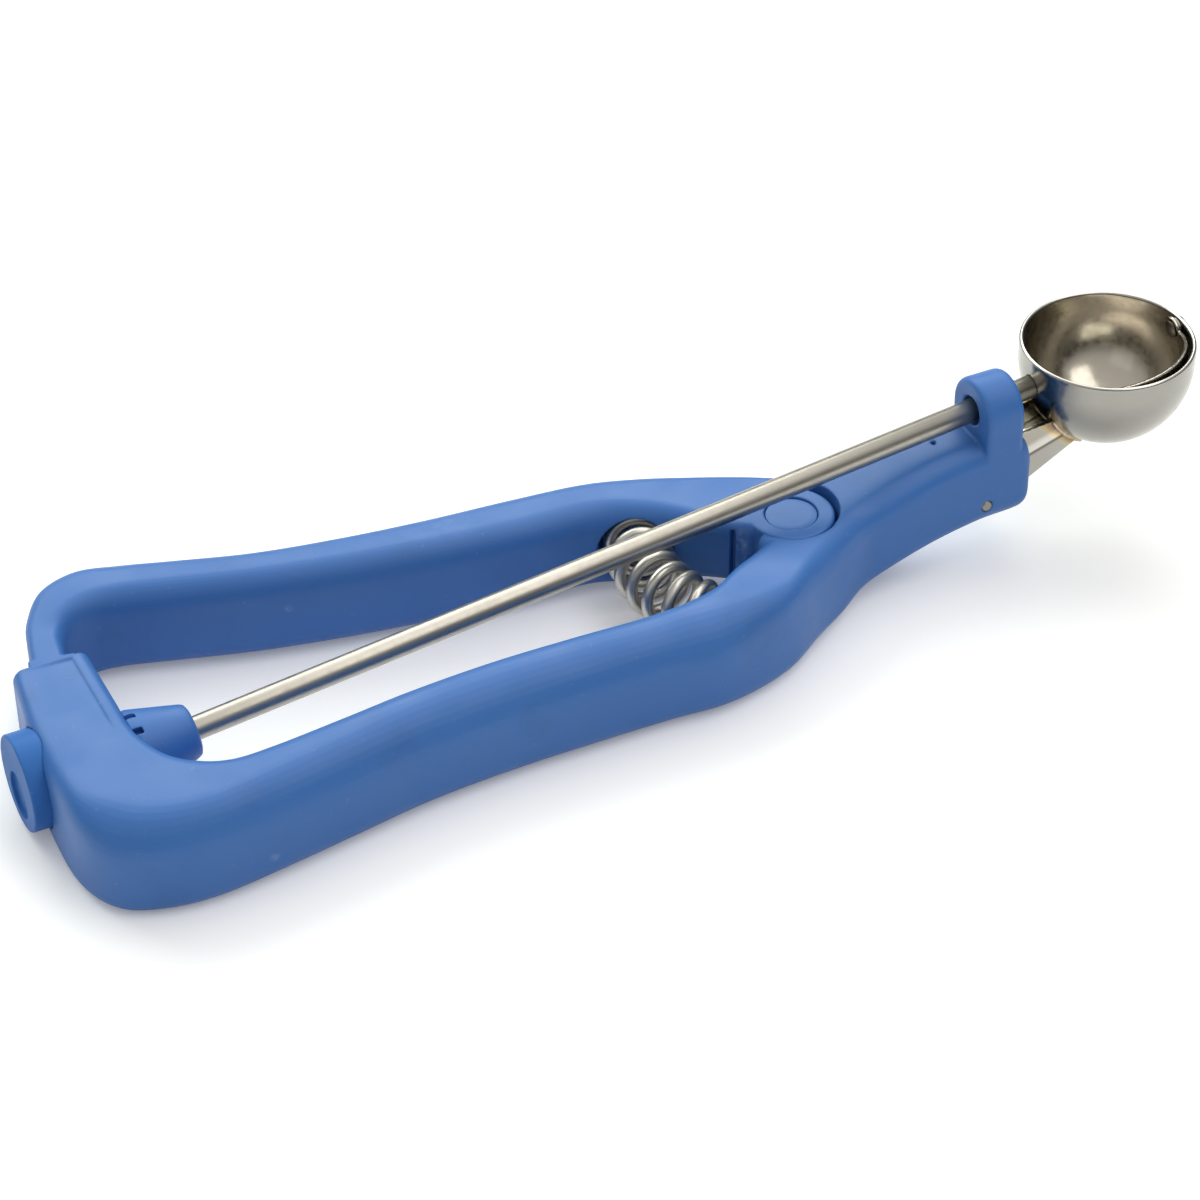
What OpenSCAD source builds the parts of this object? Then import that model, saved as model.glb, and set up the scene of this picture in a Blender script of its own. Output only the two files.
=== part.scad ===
// Lever ice cream scoop: a squeeze handle turns a wiper blade inside a small steel bowl.
// Frame: millimetres. The lever pivot stands on the Z axis, +X runs toward the bowl,
// +Y toward the moving lever, +Z up. The handle lies flat on z = 0 at rest.

/* [Handle] */
// Height of both handle arms and of the rear block
handle_h = 20; // [18.5:0.5:24]
// Distance from the pivot to the inner wall of the rear block
handle_len = 132.2; // [124:0.2:142]
// Width added to both handle arms
arm_extra = 0; // [-1:0.1:1.5]
// Edge rounding of the two handle arms
arm_round = 4.8; // [3:0.1:5.5]
// Rounding of the upper outer edge of the fixed arm and its corner
outer_round = 8; // [5:0.5:8]
// Edge rounding of the rear block
block_round = 2.4; // [1.5:0.1:3.2]
// Thickness of the block roof and floor over the cavity
block_wall = 1.2; // [1.2:0.1:1.5]
// Depth of the recessed panel in the block top
panel_depth = 0.4; // [0.2:0.1:0.5]
// Radius of the round boss that carries the pivot
boss_r = 11.5; // [11:0.1:12]
// Thickness of the floor under the lever eye
pivot_floor = 5; // [4:0.1:6]

/* [Neck and tower] */
// Half width of the neck at the tower
neck_half_w = 6.8; // [6.2:0.1:7.5]
// Height of the tower over the rod axis
tower_over_rod = 6.4; // [5.8:0.1:8]
// Thickness of the tower along the rod
tower_t = 8.2; // [6.5:0.1:8.4]

/* [Lever] */
// Turn of the lever when it is squeezed, in degrees
stroke = 5; // [4:0.1:5]
// Radius of the round eye that sits on the pivot pin
eye_r = 8.2; // [7.5:0.1:8.6]
// Depth of the eye top below the pocket rim
eye_drop = 0.9; // [0.5:0.1:1.5]
// Diameter of the pivot pin
pin_d = 6; // [5:0.1:7]

/* [Drive] */
// Diameter of the drive rod
rod_d = 4.5; // [4:0.1:5]
// Rise of the drive rod toward the bowl, in degrees
rod_rise = 6.6; // [6.2:0.1:6.8]
// Height of the rod axis over the handle top at the pivot
rod_over = 5.85; // [5.6:0.05:6.2]
// Turns of the blade for one turn of the lever
drive_ratio = 30; // [29:0.5:31]
// Outside radius of the rod bush at the block wall
bush_r = 7.8; // [7:0.1:8]
// Outside radius of the rod bush at its small end
bush_tip_r = 4.9; // [4.2:0.1:5.6]
// Length of the tapered bush in front of the block
bush_len = 11.9; // [8:0.1:15]

/* [End plug] */
// Radius of the round end cap
cap_r = 9; // [8.6:0.1:9.2]
// Length of the end cap behind the block
cap_len = 4; // [2.5:0.1:6]
// Turn of the cap away from square, in degrees
cap_yaw = 0; // [-2:0.5:6]

/* [Return spring] */
// Mean radius of the spring coils
coil_r = 5.4; // [5:0.1:6.2]
// Diameter of the spring wire
wire_d = 2.3; // [1.2:0.1:2.4]
// Number of coils
coils = 7.5; // [5:0.5:8]

/* [Bowl] */
// Outside radius of the bowl
bowl_r = 16.9; // [16:0.1:18.5]
// Wall thickness of the bowl
bowl_t = 0.95; // [0.8:0.05:1.2]
// Height of the straight rim over the ball centre
rim_h = 3.2; // [3:0.1:4]
// Distance from the pivot to the bowl centre
bowl_x = 68.2; // [67:0.1:70]
// Width of the blade around the axis, in degrees
blade_band = 53.5; // [46:0.5:56]
// Thickness of the blade
blade_t = 0.7; // [0.6:0.05:0.9]
// Radius of the rear ear of the blade, on the rod
ear_r = 3; // [2.8:0.1:4]

/* [Shank] */
// Half width of the shank channel
shank_half_w = 4.5; // [4.2:0.1:4.8]
// Sheet thickness of the shank
shank_t = 1.2; // [1:0.1:1.4]
// Diameter of the cross pin in the neck
cross_d = 2.4; // [2:0.1:2.8]

/* [Fits] */
// Radial play of turning shafts
run_fit = 0.06; // [0.03:0.01:0.09]
// Play of parts that are set into each other
seat_fit = 0.03; // [0.02:0.01:0.05]
// Gap kept between moving and fixed bodies
move_gap = 0.4; // [0.35:0.05:0.5]

/* [Hidden] */
$fn = 72;

rod_r = rod_d / 2;
// the rod axis: its height at the pivot and at any x
rod_z0 = handle_h + rod_over;
function rod_z(x) = rod_z0 + x * tan(rod_rise);
// along-axis distance from the bowl centre to the plane at x
function along(x) = (x - bowl_x) / cos(rod_rise);

// block and cavity, measured from the pivot
wall_x = -handle_len;
cav_in = handle_len + 3.1;
cav_out = cav_in + 9.6;
cav_lo = block_wall;
cav_hi = handle_h - block_wall;
mouth_y = 20.2;
cav_end_y = -16.6;
block_depth = 16.8;
rear_x = wall_x - block_depth;
panel_y = -5.7;
panel_rim = 0.8;

// rack and pinion
rack_in = cav_in + move_gap + 0.1;
rack_out = cav_out - move_gap - 0.1;
rack_r = (rack_in + rack_out) / 2;
pitch_r = rack_r / drive_ratio;
teeth = 10;
pitch_deg = 360 / teeth / drive_ratio;
addendum = 0.8;
tooth_root = 1.1;
tooth_w = 1.15;
mesh_z = rod_z(-rack_r) + pitch_r;
slab_lo = rod_z(-rack_in) + pitch_r + addendum + 0.3;
slab_hi = cav_hi - move_gap - 0.1;
slab_end = -1.2;
slab_back = 9.5;

// the arms are skinned a hair below the bench plane and cut flat on it
sole = -0.05;

// pivot
pin_r = pin_d / 2;
pocket_r = eye_r + 0.9;
eye_lo = pivot_floor + 0.4;
eye_hi = handle_h - eye_drop;
pin_foot = 1.4;
cap_seat_r = 5;
head_t = 1.1;
cap_disc_t = 0.9;
head_lo = eye_hi - cap_disc_t - head_t - 0.3;
lever_lift = 0.5;
slit_wide = 0.9;
slit_deep = 1.6;

// bush in the inner wall and gear behind it
bush_plug_r = 5.6;
bush_end = along(wall_x + bush_len);
bush_back = along(wall_x - 2.4);
bush_seat = along(wall_x + 0.6);
gear_front = along(-rack_in - 0.8);
gear_back = along(-rack_out + 0.7);
rod_back = along(rear_x + 1.8);

// end plug, set a little off the rod axis; its hole lets the gear pass
cap_side = 2;
cap_up = 1.5;
plug_r = cap_r - 0.85;
cap_sink = 1.4;
dish_r = 4.4;
dish_drop = 2.6;

// neck and tower
tower_back = 38.3;
tower_front = tower_back + tower_t;
neck_front = tower_front + 1.9;

// shank
slot_x = 36;
shank_lo = handle_h - 10.8;
bend_x = 42.4;
shank_slope = 29;
shank_top = handle_h + 3.6;
top_slope = 11.5;
cross_x = 39;
cross_z = shank_lo + shank_t + cross_d / 2 + 0.3;

// blade
blade_gap = 0.5;
blade_out = bowl_r - bowl_t - blade_gap;
blade_in = blade_out - blade_t;
blade_top = 13.5;
spigot_r = 1.5;
rivet_lip = 0.9;
front_ear_r = ear_r - 0.7;
front_pin_r = 1.1;
front_lip = 0.6;
front_head = 0.5;

// the spring bows between its two seats: seats in plan and the point that pulls its curve
near_seat = [-21.7, -12];
spring_pull = [-31.7, 3.1];
far_seat = [-23, 18.6];
spring_len = (2 * norm(far_seat - near_seat) + norm(spring_pull - near_seat)
    + norm(far_seat - spring_pull)) / 3;
spring_z = handle_h / 2 - 0.2;
seat_r = coil_r + wire_d / 2 + 0.3;

c_blue = [0.30, 0.50, 0.78];
c_steel = [0.78, 0.76, 0.72];
c_dark = [0.45, 0.44, 0.43];

// ---- shared shapes ----

// smooth curve through a list of stations, u counts stations
function station(p, u) =
    let (n = len(p) - 1)
    let (i = min(floor(u), n - 1))
    let (t = u - i)
    let (a = p[max(i - 1, 0)], b = p[i], c = p[i + 1], d = p[min(i + 2, n)])
    0.5 * (2 * b + (c - a) * t + (2 * a - 5 * b + 4 * c - d) * t * t
        + (3 * b - a - 3 * c + d) * t * t * t);

// rounded section between the two edge points of a station
// [x1, y1, x2, y2, low, high, round, round of the upper edge at the second point]
corner_n = 6;
function section(s) =
    let (a = [s[0], s[1]], b = [s[2], s[3]])
    let (w = norm(b - a), dir = (b - a) / norm(b - a), edge = min(s[6], w / 2 - 0.2))
    [for (c = [0:3]) for (k = [0:corner_n - 1])
        let (ang = c * 90 + k * 90 / (corner_n - 1))
        let (r = c == 0 ? min(s[7], w - edge - 0.2) : edge)
        let (u = (c == 0 || c == 3 ? w - r : r) + r * cos(ang))
        let (z = (c < 2 ? s[5] - r : s[4] + r) + r * sin(ang))
        [a[0] + dir[0] * u, a[1] + dir[1] * u, z]];

// solid skinned over the stations
module moulding(stations, steps) {
    n = corner_n * 4;
    last = (len(stations) - 1) * steps;
    rings = [for (k = [0:last]) section(station(stations, k / steps))];
    points = [for (ring = rings) for (p = ring) p];
    sides = [for (k = [0:last - 1]) for (i = [0:n - 1])
        let (a = k * n + i, b = k * n + (i + 1) % n)
        each [[a, a + n, b + n], [a, b + n, b]]];
    first_cap = [for (i = [0:n - 1]) i];
    last_cap = [for (i = [0:n - 1]) last * n + n - 1 - i];
    polyhedron(points = points, faces = concat(sides, [first_cap], [last_cap]), convexity = 8);
}

// places children in the frame of the rod: origin at the bowl centre, X along the rod
module on_rod() {
    translate([bowl_x, 0, rod_z(bowl_x)])
        rotate([0, -rod_rise, 0])
            children();
}

// cylinder along the rod from s to e, measured from the bowl centre
module rod_cyl(s, e, r) {
    translate([s, 0, 0])
        rotate([0, 90, 0])
            cylinder(h = e - s, r = r);
}

// ring sector around the pivot axis, angles measured from -X, plus toward +Y
module sector(r_in, r_out, low, high, from, to) {
    reach = r_out * 1.2;
    mid = (from + to) / 2;
    intersection() {
        translate([0, 0, low])
            difference() {
                cylinder(h = high - low, r = r_out, $fn = 360);
                translate([0, 0, -1])
                    cylinder(h = high - low + 2, r = r_in, $fn = 360);
            }
        translate([0, 0, low - 1])
            linear_extrude(height = high - low + 2)
                polygon([[0, 0], reach * [-cos(to), sin(to)], reach * [-cos(mid), sin(mid)],
                    reach * [-cos(from), sin(from)]]);
    }
}

// pocket for one end of the spring, flared toward the middle of the spring
module spring_pocket(seat) {
    flare = 1;
    toward = spring_pull - seat;
    translate([seat[0], seat[1], spring_z])
        rotate([0, 0, atan2(toward[1], toward[0])])
            rotate([0, 90, 0])
                cylinder(h = 12, r1 = seat_r, r2 = seat_r + flare);
}

// axis of the end plug: origin on the rear wall, Z pointing rearward
module on_rear_wall() {
    translate([rear_x, cap_side, rod_z(rear_x) + cap_up])
        rotate([0, 0, cap_yaw])
            rotate([0, -90, 0])
                children();
}

// ---- fixed handle ----
// edge points run from the neck past the pivot, along the near arm, round the corner, up the block
k_len = handle_len / 132.2;
e_w = arm_extra;
fixed_stations = [
    [neck_front, neck_half_w - 0.6, neck_front, -neck_half_w + 0.6,
        handle_h - 10.4, handle_h + 2.2, 3.2],
    [tower_front, neck_half_w, tower_front, -neck_half_w, handle_h - 12.1, handle_h + 5, 3.6],
    [38, neck_half_w + 0.1, 38, -neck_half_w - 0.1, handle_h - 12.9, handle_h + 5.2, 4.2],
    [28, neck_half_w + 0.6, 28, -neck_half_w - 0.6, handle_h - 14.5, handle_h + 4.2, 4.6],
    [18.5, neck_half_w + 1.4, 18.5, -neck_half_w - 1.5, 3.4, handle_h + 2.4, arm_round],
    [11, neck_half_w + 1.8, 11.5, -9.2, 1.4, handle_h + 0.7, arm_round],
    [4, neck_half_w, 5, -12.7, sole, handle_h, arm_round],
    [-3.5, 0.5, -2.5, -17.2, sole, handle_h, arm_round],
    [-9.5, -5.3, -10.5, -22, sole, handle_h, 4],
    [-16.5, -8.7, -19, -25, sole, handle_h, 4],
    [-24, -12.4, -28, -26.7 - e_w, sole, handle_h, arm_round],
    [-36 * k_len, -13.9, -38 * k_len, -26.1 - e_w, sole, handle_h, arm_round],
    [-52 * k_len, -13.3, -53 * k_len, -25.8 - e_w, sole, handle_h, arm_round],
    [-68 * k_len, -13, -69 * k_len, -25.8 - e_w, sole, handle_h, arm_round],
    [-84 * k_len, -13.8, -86 * k_len, -26.8 - e_w, sole, handle_h, arm_round],
    [-98 * k_len, -15.4, -101 * k_len, -29.1 - e_w, sole, handle_h, arm_round],
    [-111 * k_len, -16.8, -116 * k_len, -31.4 - e_w, sole, handle_h, arm_round],
    [wall_x + 13, -17.2, wall_x + 3, -32.5, sole, handle_h, arm_round - 0.4],
    [wall_x + 6.6, -14.6, wall_x - 6.8, -30.9, sole, handle_h, arm_round - 1],
    [wall_x + 2.4, -10.4, wall_x - 13.8, -26.4, sole, handle_h, block_round + 0.6],
    [wall_x, -3.5, wall_x - 17.2, -16.5, sole, handle_h, block_round],
    [wall_x, 5, rear_x - 0.1, 1, sole, handle_h, block_round],
    [wall_x, 13, rear_x + 1.4, 12, sole, handle_h, block_round],
    [wall_x, mouth_y, rear_x + 2.5, mouth_y, sole, handle_h, block_round]];

// the outer upper edge is rounder along the arm and the corner and tightens up the block
function outer_edge(s) =
    let (x = s[2], y = s[3])
    let (grown = x > -15 ? s[6]
        : y < -25 ? outer_round
        : y < -20 ? (outer_round + s[6]) / 2
        : y < -10 ? min(outer_round, 5)
        : y < 5 ? 3.5
        : s[6])
    concat(s, [max(grown, s[6])]);

module tower_solid() {
    arch_z = rod_z(tower_back) + tower_over_rod - neck_half_w;
    translate([tower_back, 0, 0])
        rotate([90, 0, 90])
            linear_extrude(height = tower_t)
                union() {
                    translate([0, arch_z])
                        circle(r = neck_half_w);
                    translate([-neck_half_w, handle_h - 6])
                        square([neck_half_w * 2, arch_z - handle_h + 6]);
                }
}

// channel of the shank as it lies in the neck and in the open, grown by g
module shank_shape(g) {
    far_x = bowl_x;
    rise_lo = (far_x - bend_x) * tan(shank_slope);
    rise_hi = (far_x - slot_x) * tan(top_slope * 0.55);
    difference() {
        rotate([90, 0, 0])
            translate([0, 0, -shank_half_w - g])
                linear_extrude(height = (shank_half_w + g) * 2)
                    polygon([[slot_x - g, shank_lo - g], [bend_x, shank_lo - g],
                        [far_x, shank_lo + rise_lo - g], [far_x, shank_top + rise_hi + g],
                        [slot_x - g, shank_top + g]]);
        rotate([90, 0, 0])
            translate([0, 0, -shank_half_w + shank_t + g])
                linear_extrude(height = (shank_half_w - shank_t - g) * 2)
                    polygon([[slot_x - 2, shank_lo + shank_t + g],
                        [bend_x - 0.3, shank_lo + shank_t + g],
                        [far_x + 2, shank_lo + rise_lo + shank_t * 1.6 + g],
                        [far_x + 2, 60], [slot_x - 2, 60]]);
    }
}

module pivot_passage() {
    reach = 30;
    translate([0, 0, pivot_floor])
        linear_extrude(height = handle_h)
            polygon([[0, 0], reach * [cos(68), sin(68)], reach * 1.6 * [cos(110), sin(110)],
                reach * 1.6 * [cos(165), sin(165)], reach * [cos(207.5), sin(207.5)]]);
}

module fixed_handle() {
    color(c_blue)
        difference() {
            union() {
                moulding([for (s = fixed_stations) outer_edge(s)], 3);
                tower_solid();
                // round boss under and around the lever eye
                translate([0, 0, sole])
                    cylinder(h = handle_h - 1.2 - sole, r = boss_r);
                translate([0, 0, handle_h - 1.2])
                    cylinder(h = 1.2, r1 = boss_r, r2 = boss_r - 1.2);
            }
            // pocket for the eye and the way out for the arm
            translate([0, 0, pivot_floor])
                cylinder(h = handle_h, r = pocket_r);
            pivot_passage();
            // blind bore of the pivot pin in the pocket floor
            translate([0, 0, pin_foot - seat_fit])
                cylinder(h = handle_h, r = pin_r + seat_fit);
            // rod through the tower, with a wider mouth
            on_rod() rod_cyl(along(tower_back - 4), along(tower_front + 6), rod_r + run_fit);
            on_rod() rod_cyl(along(tower_back - 4), along(tower_back + 1.2), rod_r + 0.45);
            // cavity for the rack, open at the mouth
            block_cavity();
            // hole for the rod bush in the inner wall, and room for its flange
            on_rod() rod_cyl(along(-cav_in - 3), along(wall_x + 4), bush_plug_r + seat_fit);
            on_rod() rod_cyl(bush_seat, bush_seat + 14, bush_r + 0.35);
            // spigot of the end plug and round seat of its cap
            on_rear_wall()
                translate([0, 0, -7])
                    cylinder(h = 20, r = plug_r + seat_fit);
            on_rear_wall()
                translate([0, 0, -cap_sink])
                    cylinder(h = 8, r = cap_r + seat_fit);
            // recessed panel, bare
            translate([-cav_out + 0.6, panel_y, handle_h - panel_depth])
                cube([cav_out - cav_in - 0.6, mouth_y - panel_rim - panel_y, 2]);
            // shank slot and cross pin
            shank_shape(seat_fit);
            cross_pin_shape(seat_fit, 12);
            // near seat of the return spring
            spring_pocket(near_seat);
            // flat underside
            translate([-200, -60, -5])
                cube([260, 120, 5]);
            // small gate mark on the neck
            translate([31, 1, rod_z(31) - 5.9])
                cylinder(h = 3, r = 0.5);
        }
}

module block_cavity() {
    sector(cav_in, cav_out, cav_lo, cav_hi, -6.8, 20);
}

// ---- lever ----
// edge points run from the eye along the far arm and round the elbow to the block mouth
lever_stations = [
    [3.2, 12.2, -7.4, -1.6, eye_lo, eye_hi, 2],
    [-2.6, 16, -12.4, 1.6, eye_lo, eye_hi, 2.6],
    [-11, 20.4, -18.2, 7.6, 3.4, handle_h - 0.6, 3.6],
    [-20.4, 24.8 + e_w, -24.6, 12.4, lever_lift, handle_h - 0.4, 4.4],
    [-31 * k_len, 28.3 + e_w, -33 * k_len, 16, lever_lift, handle_h - 0.4, arm_round],
    [-46 * k_len, 30 + e_w, -47.5 * k_len, 17.2, lever_lift, handle_h - 0.4, arm_round],
    [-62 * k_len, 31.4 + e_w, -64 * k_len, 19.2, lever_lift, handle_h - 0.4, arm_round],
    [-78 * k_len, 33.5 + e_w, -80.5 * k_len, 21.9, lever_lift, handle_h - 0.4, arm_round],
    [-94 * k_len, 36.6 + e_w, -97.5 * k_len, 25.6, lever_lift, handle_h - 0.4, arm_round],
    [-108 * k_len, 41 + e_w, -112 * k_len, 29.9, lever_lift, handle_h - 0.4, arm_round],
    [wall_x + 15, 44.2, wall_x + 10.6, 32.8, lever_lift, handle_h - 0.5, arm_round],
    [wall_x + 6.4, 46.2, wall_x + 5, 33.6, lever_lift, handle_h - 0.6, 4.4],
    [wall_x - 1.4, 43.6, wall_x + 0.6, 32, lever_lift + 0.3, handle_h - 0.8, 4],
    [wall_x - 6, 37.4, wall_x - 1.8, 28.8, cav_lo + move_gap, slab_hi, 3],
    [wall_x - 8.2, 30.6, wall_x - 3, 25, cav_lo + move_gap, slab_hi, 2],
    [wall_x - 10.4, 19.4, wall_x - 4.1, 19.4, cav_lo + move_gap, slab_hi, 1.2]];

module rack_tooth(angle) {
    len_x = rack_out - rack_in;
    top = slab_lo + 0.8 - mesh_z;
    flank = tan(20);
    rotate([0, 0, -angle])
        translate([-rack_r, 0, mesh_z])
            rotate([0, -rod_rise, 0])
                rotate([90, 0, 90])
                    translate([0, 0, -len_x / 2])
                        linear_extrude(height = len_x)
                            polygon([[-tooth_w / 2 - flank * top, top],
                                [-tooth_w / 2 + flank * addendum, -addendum],
                                [tooth_w / 2 - flank * addendum, -addendum],
                                [tooth_w / 2 + flank * top, top]]);
}

module rack_teeth() {
    for (k = [-1:5])
        rack_tooth((k + 0.5) * pitch_deg);
}

module lever_handle() {
    color(c_blue)
        difference() {
            union() {
                moulding([for (s = lever_stations) concat(s, [s[6]])], 3);
                translate([0, 0, eye_lo])
                    cylinder(h = eye_hi - eye_lo, r = eye_r);
                // tongue over the pinion
                sector(rack_in, rack_out, slab_lo, slab_hi, slab_end, slab_back);
                rack_teeth();
            }
            // bore on the pivot pin and shallow seat of its head and cap
            translate([0, 0, -1])
                cylinder(h = handle_h * 2, r = pin_r + run_fit);
            translate([0, 0, head_lo - run_fit])
                cylinder(h = 4, r = cap_seat_r + run_fit);
            // far seat of the return spring
            spring_pocket(far_seat);
            // narrow upright slit beside the eye
            translate([-11.8, 1.25, eye_lo - 1])
                rotate([0, 0, 40])
                    translate([-slit_deep, -slit_wide / 2, 0])
                        cube([slit_deep * 2, slit_wide, eye_hi - eye_lo - 0.2]);
        }
}

// ---- pivot ----
module pivot_pin() {
    color(c_steel)
        union() {
            translate([0, 0, pin_foot])
                cylinder(h = head_lo - pin_foot + 0.5, r = pin_r);
            translate([0, 0, head_lo])
                cylinder(h = head_t, r = cap_seat_r - 0.2);
        }
}

module pivot_washer() {
    color(c_steel)
        translate([0, 0, pivot_floor])
            difference() {
                cylinder(h = eye_lo - pivot_floor - 0.02, r = eye_r - 1);
                translate([0, 0, -1])
                    cylinder(h = 3, r = pin_r + 0.1);
            }
}

module pivot_cap() {
    color(c_blue)
        translate([0, 0, head_lo + head_t])
            cylinder(h = cap_disc_t, r = cap_seat_r);
}

// ---- return spring ----
// point of the spring curve and its direction, in plan, for t from 0 to 1
function spring_at(t) =
    (1 - t) * (1 - t) * near_seat + 2 * t * (1 - t) * spring_pull + t * t * far_seat;
function spring_way(t) =
    let (way = (1 - t) * (spring_pull - near_seat) + t * (far_seat - spring_pull))
    way / norm(way);

module return_spring() {
    ring_n = 8;
    per_coil = 20;
    first_turn = 233;
    last = coils * per_coil;
    wire_r = wire_d / 2;
    run = spring_len - wire_d - 0.1;
    // the end coils lie closer together than the working coils
    function climb(t) =
        let (e = 0.75 / coils)
        t < e ? t / e * wire_d * 0.75
        : t > 1 - e ? run - (1 - t) / e * wire_d * 0.75
        : wire_d * 0.75 + (t - e) / (1 - 2 * e) * (run - wire_d * 1.5);
    rings = [for (k = [0:last])
        let (turn = first_turn + k / per_coil * 360)
        let (t = (wire_r + 0.05 + climb(k / last)) / spring_len)
        let (mid = spring_at(t), way = spring_way(t))
        [for (i = [0:ring_n - 1])
            let (a = i * 360 / ring_n, rr = coil_r + wire_r * cos(a))
            let (side = rr * sin(turn), on = wire_r * sin(a))
            [mid[0] - way[1] * side + way[0] * on, mid[1] + way[0] * side + way[1] * on,
                spring_z - rr * cos(turn)]]];
    points = [for (ring = rings) for (p = ring) p];
    sides = [for (k = [0:last - 1]) for (i = [0:ring_n - 1])
        let (a = k * ring_n + i, b = k * ring_n + (i + 1) % ring_n)
        each [[a, b, b + ring_n], [a, b + ring_n, a + ring_n]]];
    first_cap = [for (i = [0:ring_n - 1]) ring_n - 1 - i];
    last_cap = [for (i = [0:ring_n - 1]) last * ring_n + i];
    color(c_steel)
        polyhedron(points = points, faces = concat(sides, [first_cap], [last_cap]), convexity = 12);
}

// ---- drive ----
module drive_rod() {
    color(c_steel)
        on_rod()
            union() {
                rod_cyl(rod_back, -blade_out + 0.04, rod_r);
                rod_cyl(-blade_out, -blade_in + 1, spigot_r);
            }
}

module gear_outline() {
    root_r = pitch_r - tooth_root;
    tip_r = pitch_r + addendum;
    union() {
        circle(r = root_r);
        for (k = [0:teeth - 1])
            rotate(k * 360 / teeth)
                polygon([[root_r * 0.8, -0.95], [root_r * 0.98, -0.9], [pitch_r, -tooth_w / 2],
                    [tip_r, -0.3], [tip_r, 0.3], [pitch_r, tooth_w / 2],
                    [root_r * 0.98, 0.9], [root_r * 0.8, 0.95]]);
    }
}

module pinion() {
    color(c_dark)
        on_rod()
            difference() {
                // teeth, one of them pointing up into the rack at rest
                translate([gear_back, 0, 0])
                    rotate([90, 0, 90])
                        linear_extrude(height = gear_front - gear_back)
                            rotate(90)
                                gear_outline();
                rod_cyl(gear_back - 1, gear_front + 1, rod_r + seat_fit);
            }
}

module rod_bush() {
    flange = bush_seat + seat_fit;
    notch = 1.3;
    color(c_blue)
        difference() {
            on_rod()
                union() {
                    rod_cyl(bush_back, flange + 0.5, bush_plug_r);
                    rod_cyl(flange, flange + 1.2, bush_r);
                    translate([flange + 1.2, 0, 0])
                        rotate([0, 90, 0])
                            cylinder(h = bush_end - flange - 1.2, r1 = bush_r, r2 = bush_tip_r);
                }
            on_rod() rod_cyl(bush_back - 1, bush_end + 1, rod_r + run_fit);
            // two small notches in the flange beside the wall
            for (turn = [-8, 22])
                on_rod()
                    rotate([turn, 0, 0])
                        translate([flange - 0.2, -notch / 2, bush_r - 2])
                            cube([2.2, notch, 4]);
        }
}

module end_plug() {
    color(c_blue)
        difference() {
            union() {
                on_rear_wall()
                    translate([0, 0, seat_fit - cap_sink])
                        cylinder(h = cap_len + cap_sink - 0.3, r = cap_r);
                on_rear_wall()
                    translate([0, 0, -3.3])
                        cylinder(h = 3.3, r = plug_r);
            }
            on_rod() rod_cyl(rod_back - 0.4, rod_back + 12, rod_r + run_fit);
            // shallow round recess low in the cap face
            on_rear_wall()
                translate([-dish_drop, 0, cap_len - 1.1])
                    cylinder(h = 2, r = dish_r);
        }
}

// ---- bowl and shank ----
module bowl() {
    r_in = bowl_r - bowl_t;
    color(c_steel)
        difference() {
            translate([bowl_x, 0, rod_z(bowl_x)])
                rotate_extrude(angle = 360, $fn = 144)
                    union() {
                        intersection() {
                            difference() {
                                circle(r = bowl_r, $fn = 144);
                                circle(r = r_in, $fn = 144);
                            }
                            translate([0, -bowl_r - 1])
                                square([bowl_r + 2, bowl_r + 1]);
                        }
                        translate([r_in, 0])
                            square([bowl_t, rim_h]);
                        translate([r_in + bowl_t / 2, rim_h])
                            circle(r = bowl_t / 2, $fn = 24);
                    }
            on_rod() rod_cyl(-bowl_r - 4, -10, rod_r + run_fit);
            on_rod() rod_cyl(10, bowl_r + 4, front_pin_r + seat_fit);
        }
}

module tang() {
    color(c_steel)
        difference() {
            shank_shape(0);
            translate([bowl_x, 0, rod_z(bowl_x)])
                sphere(r = bowl_r + 0.01, $fn = 144);
            translate([bowl_x - 9, -20, rod_z(bowl_x) - 8])
                cube([60, 40, 40]);
            on_rod() rod_cyl(-60, 0, rod_r + move_gap);
            cross_pin_shape(seat_fit, 12);
        }
}

// weld bead around the end of the shank on the bowl
module tang_weld() {
    bead = 0.7;
    color(c_dark)
        difference() {
            intersection() {
                translate([bowl_x, 0, rod_z(bowl_x)])
                    sphere(r = bowl_r + bead, $fn = 96);
                translate([bend_x + 2.6, -shank_half_w - bead, shank_lo + 2.8])
                    cube([bowl_x - bend_x - 11.6, (shank_half_w + bead) * 2, 13.6]);
            }
            translate([bowl_x, 0, rod_z(bowl_x)])
                sphere(r = bowl_r + 0.01, $fn = 96);
            translate([0, -shank_half_w - 0.01, 0])
                cube([bowl_x * 2, shank_half_w * 2 + 0.02, handle_h * 3]);
        }
}

module cross_pin_shape(g, half) {
    translate([cross_x, 0, cross_z])
        rotate([90, 0, 0])
            cylinder(h = half * 2, r = cross_d / 2 + g, center = true);
}

module tang_cross_pin() {
    color(c_steel)
        cross_pin_shape(0, neck_half_w + 0.05);
}

// ---- blade ----
module blade_shell() {
    difference() {
        sphere(r = blade_out, $fn = 144);
        sphere(r = blade_in, $fn = 144);
    }
}

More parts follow.
